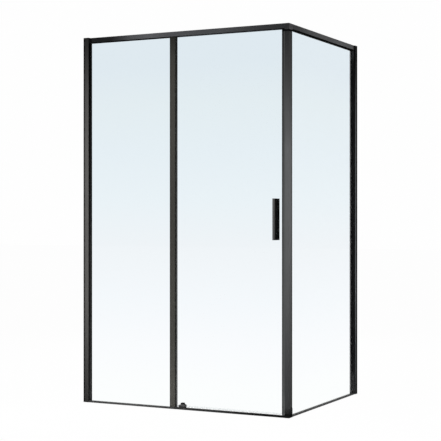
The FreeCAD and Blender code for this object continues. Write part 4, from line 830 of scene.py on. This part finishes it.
# The rails' gaskets lie along the panes' tops; their legs hang out under the rail as two lips.
lying_reach = 0.015
for node, axis, gap_low, gap_high, lip in (("fixed_glass_top_gasket", "X", 0.0123, 0.0123, 0.0041),
                                           ("side_glass_top_gasket", "Y", 0.0003, 0.0123, 0.0071)):
    low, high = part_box(node)
    long = high["XYZ".index(axis)] - low["XYZ".index(axis)]
    strip = channel_gasket(lying_reach, long, lips=False)
    score("Z", gap_low, long - gap_high)
    choose("FACE", lambda mid, way: way.x > 0.5 and mid.x > lying_reach - hair
           and between(mid.z, (gap_low, long - gap_high)))
    pull(lip, 0, 0)
    soften(strip, 0.0004)
    if axis == "X":
        lying = Matrix(((0, 0, 1, low.x), (0, 1, 0, centre(node).y), (-1, 0, 0, high.z), (0, 0, 0, 1)))
    else:
        lying = Matrix(((0, -1, 0, centre(node).x), (0, 0, 1, low.y), (-1, 0, 0, high.z), (0, 0, 0, 1)))
    placed = settle(strip, "channel_" + node, lying @ Matrix.Translation((0, -channel_wide / 2, 0)))
    carry(placed, "root", "black_rubber", rubber, node)
    bpy.data.objects.remove(strip)


# CLOSING JAMB. A hollow extrusion screwed to the corner post that covers the door's edge, with a magnet
# strip of black vinyl in its channel. Its three screws sit behind the strip.
low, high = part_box("strike_profile")
jamb_wall, step_wide, shade_from = 0.0016, 0.0055, 1.907
# Painted light and shade: the grey darkens upwards, and the step on its +X edge carries a painted highlight.
# The part above shade_from is painted matt black as shade under the rail, and the face darkens towards its
# left edge.
give(powder_coat("black_coat_jamb", "Z",
                 [(0, 0.085), (0.136, 0.082), (0.333, 0.064), (0.58, 0.057), (0.826, 0.048), (1.072, 0.051),
                  (1.319, 0.04), (1.565, 0.035), (1.762, 0.028), (1.95, 0.02)],
                 (0.97, 1, 1),
                 other=(lambda w: place_along(w, "X") > high.x - step_wide,
                        [(0, 0.12), (0.05, 0.11), (0.13, 0.075), (1.6, 0.072), (1.95, 0.07)]),
                 joint=lambda w: place_along(w, "Z") > shade_from,
                 across=("X", [(low.x, 0.1), (low.x + 0.0022, 0.2), (low.x + 0.0035, 1.0), (high.x, 1.0)])),
     "strike_profile")
# The screw heads bear on the jamb's inner wall.
spot_x, spot_y = high.x - jamb_wall, centre("strike_screws").y
spread(pan_screw("jamb_screw", 0.0015, 0.008, 0.0026, 0.0012),
       [(f"jamb_screw_{number}", (spot_x, spot_y, up), (-1, 0, 0))
        for number, up in enumerate((0.2, 0.975, 1.75), 1)],
       "root", "stainless_steel", bright_steel, "strike_screws")

black_vinyl = soft_material("black_vinyl", (0.022, 0.022, 0.022), (0.032, 0.032, 0.032), 0.36, 0.1, 900.0)
low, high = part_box("strike_magnet_seal")
outline = [(0, 0), (0.004, 0), (0.004, 0.0058), (0.0054, 0.0058), (0.0054, 0.0098), (0, 0.0098),
           (0, 0.0088), (0.0003, 0.0083), (0.0003, 0.0015), (0, 0.001)]
strip = extruded("jamb_magnet_strip", [(low.x + x, low.y + y, low.z) for x, y in outline],
                 (0, 0, high.z - low.z))
soften(strip, 0.0002)
carry(strip, "root", "seal_vinyl", black_vinyl, "strike_magnet_seal")


# BOTTOM GUIDE. A domed base of grey nylon beside the mid post, screwed down through two sunk holes,
# with a slot for the door. Two black ribbed pads stand in it and keep the glass from swinging.
low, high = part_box("guide_base")
shoulder, blunt, above = 0.015, 0.35, 0.03
screw_line, screw_spread, screw_seat = 0.005, 0.0115, 0.009
step_deep, step_high = 0.0113, 0.0015
slot_front, slot_back, slot_floor = 0.0141, 0.0235, 0.004
seat_half, seat_front, seat_back, seat_level = 0.0086, 0.0089, 0.0287, 0.0195
long, deep, crown = high.x - low.x, high.y - low.y, high.z - low.z
rise = [(0.5 - 0.5 * math.cos(math.pi * step / 16), math.sin(math.pi * step / 16)) for step in range(17)]
outline = ([(0, 0)] + [(share * long, shoulder + (crown - shoulder) * up ** blunt) for share, up in rise]
           + [(long, 0)])
base = extruded("guide_dome", [(low.x + x, low.y, low.z + z) for x, z in outline], (0, deep, 0))
bpy.ops.object.mode_set(mode="OBJECT")
mid_x, screw_y = centre("guide_base").x, low.y + screw_line
cut(base, slab("step", (low.x - over, low.y - over, low.z - over),
               (high.x + over, low.y + step_deep, low.z + step_high)))
cut(base, slab("slot", (low.x - over, low.y + slot_front, low.z + slot_floor),
               (high.x + over, low.y + slot_back, above)))
cut(base, slab("seat", (mid_x - seat_half, low.y + seat_front, seat_level),
               (mid_x + seat_half, low.y + seat_back, above)))
for x in (mid_x - screw_spread, mid_x + screw_spread):
    cut(base, rod((x, screw_y, -over), (0, 0, 1), 0.0015, above))
    cut(base, rod((x, screw_y, screw_seat), (0, 0, 1), 0.003, above))
soften(base, 0.00035)
# Painted light and shade: the guide's grey darkens from its top down to the floor.
grey_moulding = moulded("grey_moulding", (0.88, 0.88, 0.9), (1.0, 1.0, 1.0), 0.05,
                        along=[(0, 0.012), (0.009, 0.018), (0.014, 0.042), (0.019, 0.095), (0.0245, 0.11)])
carry(base, "root", "grey_plastic", grey_moulding, "guide_base")
spread(pan_screw("guide_fixing", 0.0015, 0.0084, 0.0028, 0.002),
       [("guide_fixing_left", (mid_x - screw_spread, screw_y, screw_seat), (0, 0, 1)),
        ("guide_fixing_right", (mid_x + screw_spread, screw_y, screw_seat), (0, 0, 1))],
       "root", "stainless_steel", bright_steel, "guide_screws")

low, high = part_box("guide_pads")
groove, groove_deep = 0.0006, 0.0003
groove_tops = [high.z - 0.0022 - 0.0014 * step for step in range(5)]
pad = slab("guide_rib_front", low, (high.x, low.y + 0.0064, high.z))
choose("EDGE", lambda mid, way: abs(way.z) > 0.9 or (abs(way.x) > 0.9 and mid.z > high.z - hair))
bpy.ops.mesh.bevel(offset=0.0012, segments=3)
# Five grooves across the outer face, where a thumb pushes the pad down.
score("Z", *(level for groove_top in groove_tops for level in (groove_top, groove_top - groove)))
choose("FACE", lambda mid, way: way.y < -0.9 and any(between(mid.z, (groove_top - groove, groove_top))
                                                     for groove_top in groove_tops))
pull(0, groove_deep, 0)
soften(pad, 0.0001)
back_pad = again(pad, "guide_rib_back", Matrix.Translation((low.x + high.x, low.y + high.y, 0))
                 @ Matrix.Rotation(math.pi, 4, "Z"))
carry(pad, "root", "black_plastic", black_moulding, "guide_pads")
carry(back_pad, "root", "black_plastic", black_moulding, "guide_pads")


# RAIL STOPS. Black rubber buffers screwed up into the rail from inside; the trolleys meet them at each
# end of the door's travel.
low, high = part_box("rail_stops")
stop_long, head_radius, head_high = 0.012, 0.0028, 0.002
screw_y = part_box("rail_stop_screws")[0].y + head_radius
buffer = slab("buffer_left", low, (low.x + stop_long, high.y, high.z))
for side in (-1, 1):
    choose("FACE", lambda mid, way: way.x * side > 0.9)
    bpy.ops.mesh.inset(thickness=0.0016)
bpy.ops.object.mode_set(mode="OBJECT")
for radius, long in ((0.0015, 0.02), (0.003, 0.004)):
    cut(buffer, rod((low.x + stop_long / 2, screw_y, low.z - over), (0, 0, 1), radius, long))
soften(buffer, 0.0007, 3)
right_buffer = again(buffer, "buffer_right", Matrix.Translation((high.x - low.x - stop_long, 0, 0)))
carry(buffer, "root", "black_rubber", rubber, "rail_stops")
carry(right_buffer, "root", "black_rubber", rubber, "rail_stops")
spread(pan_screw("buffer_screw", 0.0015, 0.0096, head_radius, head_high),
       [("buffer_screw_left", (low.x + stop_long / 2, screw_y, low.z + head_high), (0, 0, -1)),
        ("buffer_screw_right", (high.x - stop_long / 2, screw_y, low.z + head_high), (0, 0, -1))],
       "root", "stainless_steel", bright_steel, "rail_stop_screws")


# SLIDING DOOR. One 6 mm pane, drilled for the handle, with a powder-coated hanger bonded over its top
# edge. It hangs in the front rail and slides behind the fixed pane.
give(pane, "door_glass")
give(powder_coat("black_coat_hanger", "X", [(-0.1, 0.006), (0.58, 0.007)], shine=0.0),
     "door_hanger_profile")


# DOOR SEALS. Vinyl strips pushed on the glass: a black one with a fin that closes against the mid post,
# a black one with a hollow magnet nose at the jamb, and a clear wiper under the door.
def section(name, outline, matrix, long, width):
    """Extrude a closed outline up the vertical, round its corners and set it in its place."""
    part = extruded("section", [(x, y, 0) for x, y in outline], (0, 0, long))
    soften(part, width)
    placed = settle(part, name, matrix)
    bpy.data.objects.remove(part)
    return placed


low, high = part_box("door_edge_seal")
fin = [(0, 0), (0.0155, 0), (0.0155, 0.0012), (0, 0.0012), (0, 0.0072), (0.0155, 0.0072), (0.0155, 0.0084),
       (-0.004, 0.0084), (-0.004, -0.001), (-0.0026, -0.001), (-0.0026, 0)]
seal = section("door_fin_seal", fin, Matrix.Translation((low.x + 0.004, low.y + 0.001, low.z)),
               high.z - low.z, 0.0003)
# Painted light: the fin seal's grey is lighter near the floor and darkens upwards.
seal_vinyl = soft_material("grey_black_vinyl", (0.9, 0.9, 0.88), (1.0, 1.0, 0.98), 0.4, 0.06, 900.0,
                           along=[(0, 0.2), (0.1, 0.19), (0.31, 0.117), (0.55, 0.12), (0.82, 0.084),
                                  (1.08, 0.077), (1.34, 0.071), (1.59, 0.041), (1.79, 0.042), (1.95, 0.04)])
carry(seal, "door", "seal_vinyl", seal_vinyl, "door_edge_seal")

low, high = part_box("door_magnet_seal")
nose = [(0, 0), (0.0176, 0), (0.0176, 0.0084), (0, 0.0084), (0, 0.0072), (0.008, 0.0072), (0.008, 0.0012),
        (0, 0.0012)]
seal = section("door_nose_seal", nose, Matrix.Translation(low), high.z - low.z, 0.0004)
cut(seal, slab("nose_hollow", (low.x + 0.0092, low.y + 0.0012, low.z - over),
               (low.x + 0.0136, low.y + 0.0072, high.z + over)))
soften(seal, 0)
carry(seal, "door", "seal_vinyl", black_vinyl, "door_magnet_seal")

clear_vinyl, w, shader = surface("clear_vinyl", {"Transmission Weight": 0.9, "IOR": 1.2, "Roughness": 0.1,
                                                 "Specular IOR Level": 0.2, "Alpha": 0.3})
haze = noise(w, 25.0, 4.0).ramp((0.3, (0.90, 0.92, 0.93)), (0.7, (0.96, 0.97, 0.975)))
haze.feed(shader, "Base Color")
low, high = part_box("door_bottom_seal")
lip = 0.0055
wiper = [(0, 0), (0.0036, 0), (0.0036, -lip), (0.0052, -lip), (0.0052, 0), (0.0084, 0), (0.0084, 0.0092),
         (0.0072, 0.0092), (0.0072, 0.0012), (0.0012, 0.0012), (0.0012, 0.0092), (0, 0.0092)]
lying = Matrix(((0, 0, 1, low.x), (1, 0, 0, low.y), (0, 1, 0, low.z + lip), (0, 0, 0, 1)))
seal = section("door_wiper_seal", wiper, lying, high.x - low.x, 0.0002)
carry(seal, "door", "seal_vinyl", clear_vinyl, "door_bottom_seal")


# TROLLEYS. Two stamped stainless plates screwed to the hanger's back, each with a pair of riveted pins.
low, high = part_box("trolley_left")
middle, pin_spread, screw_spread = centre("trolley_left").x, 0.02, 0.006
pin_up, screw_up = centre("roller_axle_pins").z, centre("trolley_screws").z
plate = slab("trolley_plate_left", low, high)
choose("EDGE", lambda mid, way: abs(way.y) > 0.9)
bpy.ops.mesh.bevel(offset=0.003, segments=5)
bpy.ops.object.mode_set(mode="OBJECT")
for x, up in ((middle - pin_spread, pin_up), (middle + pin_spread, pin_up),
              (middle - screw_spread, screw_up), (middle + screw_spread, screw_up)):
    cut(plate, rod((x, low.y - over, up), (0, 1, 0), 0.002, 0.006))
soften(plate, 0.0002)
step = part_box("trolley_right")[0].x - low.x
carry(again(plate, "trolley_plate_right", Matrix.Translation((step, 0, 0))), "door", "stainless_steel",
      bright_steel, "trolley_right")
carry(plate, "door", "stainless_steel", bright_steel, "trolley_left")
pattern = pan_screw("trolley_fixing", 0.002, 0.008, 0.0036, 0.0016)
rivet = turned("roller_rivet", [(0, -0.0015), (0.0018, -0.0015), (0.002, -0.0013), (0.002, 0), (0.0029, 0),
                                (0.0029, 0.0011), (0.002, 0.0011), (0.002, 0.0058), (0.0034, 0.0058),
                                (0.0035, 0.006), (0.003, 0.0064), (0.0018, 0.0066), (0, 0.0066)], 28)
for side, along in (("left", middle), ("right", middle + step)):
    for number, x in enumerate((along - screw_spread, along + screw_spread), 1):
        carry(again(pattern, f"trolley_fixing_{side}_{number}", aimed((x, high.y, screw_up), (0, 1, 0))),
              "door", "stainless_steel", bright_steel, "trolley_screws")
    for number, x in enumerate((along - pin_spread, along + pin_spread), 1):
        carry(again(rivet, f"roller_rivet_{side}_{number}", aimed((x, high.y, pin_up), (0, 1, 0))),
              "door", "stainless_steel", bright_steel, "roller_axle_pins")
bpy.data.objects.remove(pattern)
bpy.data.objects.remove(rivet)


# ROLLERS. Four turned nylon tyres, grooved to run over the track's bead, each pressed on a shielded
# ball bearing.
nylon, w, shader = surface("white_nylon", {"IOR": 1.53, "Specular IOR Level": 0.5})
grain = noise(w, 220.0, 4.0)
grain.ramp((0.3, (0.70, 0.69, 0.66)), (0.7, (0.80, 0.80, 0.77))).feed(shader, "Base Color")
(grain * 0.2 + 0.25).feed(shader, "Roughness")
lathe = w.node("TexWave", {"wave_type": "BANDS", "bands_direction": "Y"},
               {"Vector": w.node("TexCoord", out="Object"), "Scale": 900.0})
lathe.emboss(shader, 0.15, 0.0001)
tyre = turned("tyre", [(0.005, 0), (0.0054, 0), (0.0058, 0.0003), (0.0081, 0.0003), (0.0084, 0), (0.0087, 0),
                       (0.009, 0.0003), (0.009, 0.0012), (0.0079, 0.0014), (0.0076, 0.0016), (0.0076, 0.003),
                       (0.0079, 0.0032), (0.009, 0.0034), (0.009, 0.0043), (0.0087, 0.0046), (0.0084, 0.0046),
                       (0.0081, 0.0043), (0.0058, 0.0043), (0.0054, 0.0046), (0.005, 0.0046), (0.005, 0)], 48)
ball_bearing = turned("bearing", [(0.00205, 0), (0.0028, 0), (0.003, 0.0002), (0.003, 0.0004),
                                  (0.0042, 0.0004), (0.0042, 0.0002), (0.0044, 0), (0.005, 0), (0.005, 0.004),
                                  (0.0044, 0.004), (0.0042, 0.0038), (0.0042, 0.0036), (0.003, 0.0036),
                                  (0.003, 0.0038), (0.0028, 0.004), (0.00205, 0.004), (0.00205, 0)], 40)
for number in range(1, 5):
    for pattern, name, node, slot, finish in (
            (tyre, "roller_tyre", "roller_tread", "white_nylon", nylon),
            (ball_bearing, "shielded_bearing", "roller_bearing", "stainless_steel", bright_steel)):
        node = f"{node}_{number}"
        where = (centre(node).x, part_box(node)[0].y, centre(node).z)
        carry(again(pattern, f"{name}_{number}", aimed(where, (0, 1, 0))), f"roller_{number}", slot,
              finish, node)
bpy.data.objects.remove(tyre)
bpy.data.objects.remove(ball_bearing)


# HANDLE. Two aluminium bars in black coat, their front faces painted lighter as lit faces, clamped on
# thin rubber bands by studs that pass through nylon bushes in the glass.
handle_coat = powder_coat("black_handle_coat", "Z", [(0.87, 0.006), (0.98, 0.008), (1.09, 0.006)],
                          shine=0.0)
low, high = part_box("handle_outer")
# Painted light and shade: the front faces lighten towards the top. Across the face, they are lightest left of
# the middle and darker at both edges.
lit_front_coat = powder_coat("handle_front_painted_light", "Z",
                         [(0.87, 0.064), (0.9, 0.072), (0.98, 0.079), (1.09, 0.088)],
                         across=("X", [(low.x, 0.0), (low.x + 0.003, 0.95), (low.x + 0.006, 1.15),
                                       (high.x - 0.006, 0.8), (high.x - 0.003, 0.5), (high.x, 0.3)]))
# A fine joint marks the end plugs, a little way in from the ends.
plug_end, joint_end, joint_deep, stud_spread = 0.0024, 0.0028, 0.0003, 0.07
for node, name, outward in (("handle_outer", "grip_outer", -1), ("handle_inner", "grip_inner", 1)):
    low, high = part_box(node)
    outer_y, glass_y = (low.y, high.y) if outward < 0 else (high.y, low.y)
    bar = slab(name, low, high)
    choose("EDGE", lambda mid, way: abs(way.z) > 0.9 and abs(mid.y - outer_y) < hair)
    bpy.ops.mesh.bevel(offset=0.0024, segments=4)
    score("Z", low.z + plug_end, low.z + joint_end, high.z - joint_end, high.z - plug_end)
    choose("FACE", lambda mid, way: abs(way.z) < 0.1 and (between(mid.z - low.z, (plug_end, joint_end))
                                                          or between(high.z - mid.z, (plug_end, joint_end))))
    bpy.ops.mesh.extrude_region_shrink_fatten(TRANSFORM_OT_shrink_fatten={"value": -joint_deep})
    bpy.ops.object.mode_set(mode="OBJECT")
    for up in (centre(node).z - stud_spread, centre(node).z + stud_spread):
        cut(bar, rod((centre(node).x, glass_y - outward * over, up), (0, outward, 0), 0.003, 0.0132))
    soften(bar, 0.0003)
    carry(bar, "door", "black_aluminium", handle_coat, node)
    # The front face takes a lighter copy of the coat, painted light; the rest has the plain coat.
    bar.data.materials.append(lit_front_coat)
    for face in bar.data.polygons:
        if face.normal.y * outward > 0.6 and abs(face.center.y - outer_y) < 0.0012:
            face.material_index = 1
give(rubber, "handle_gaskets")
give(nylon, "handle_bushes")
give(bright_steel, "handle_studs")


low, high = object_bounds()
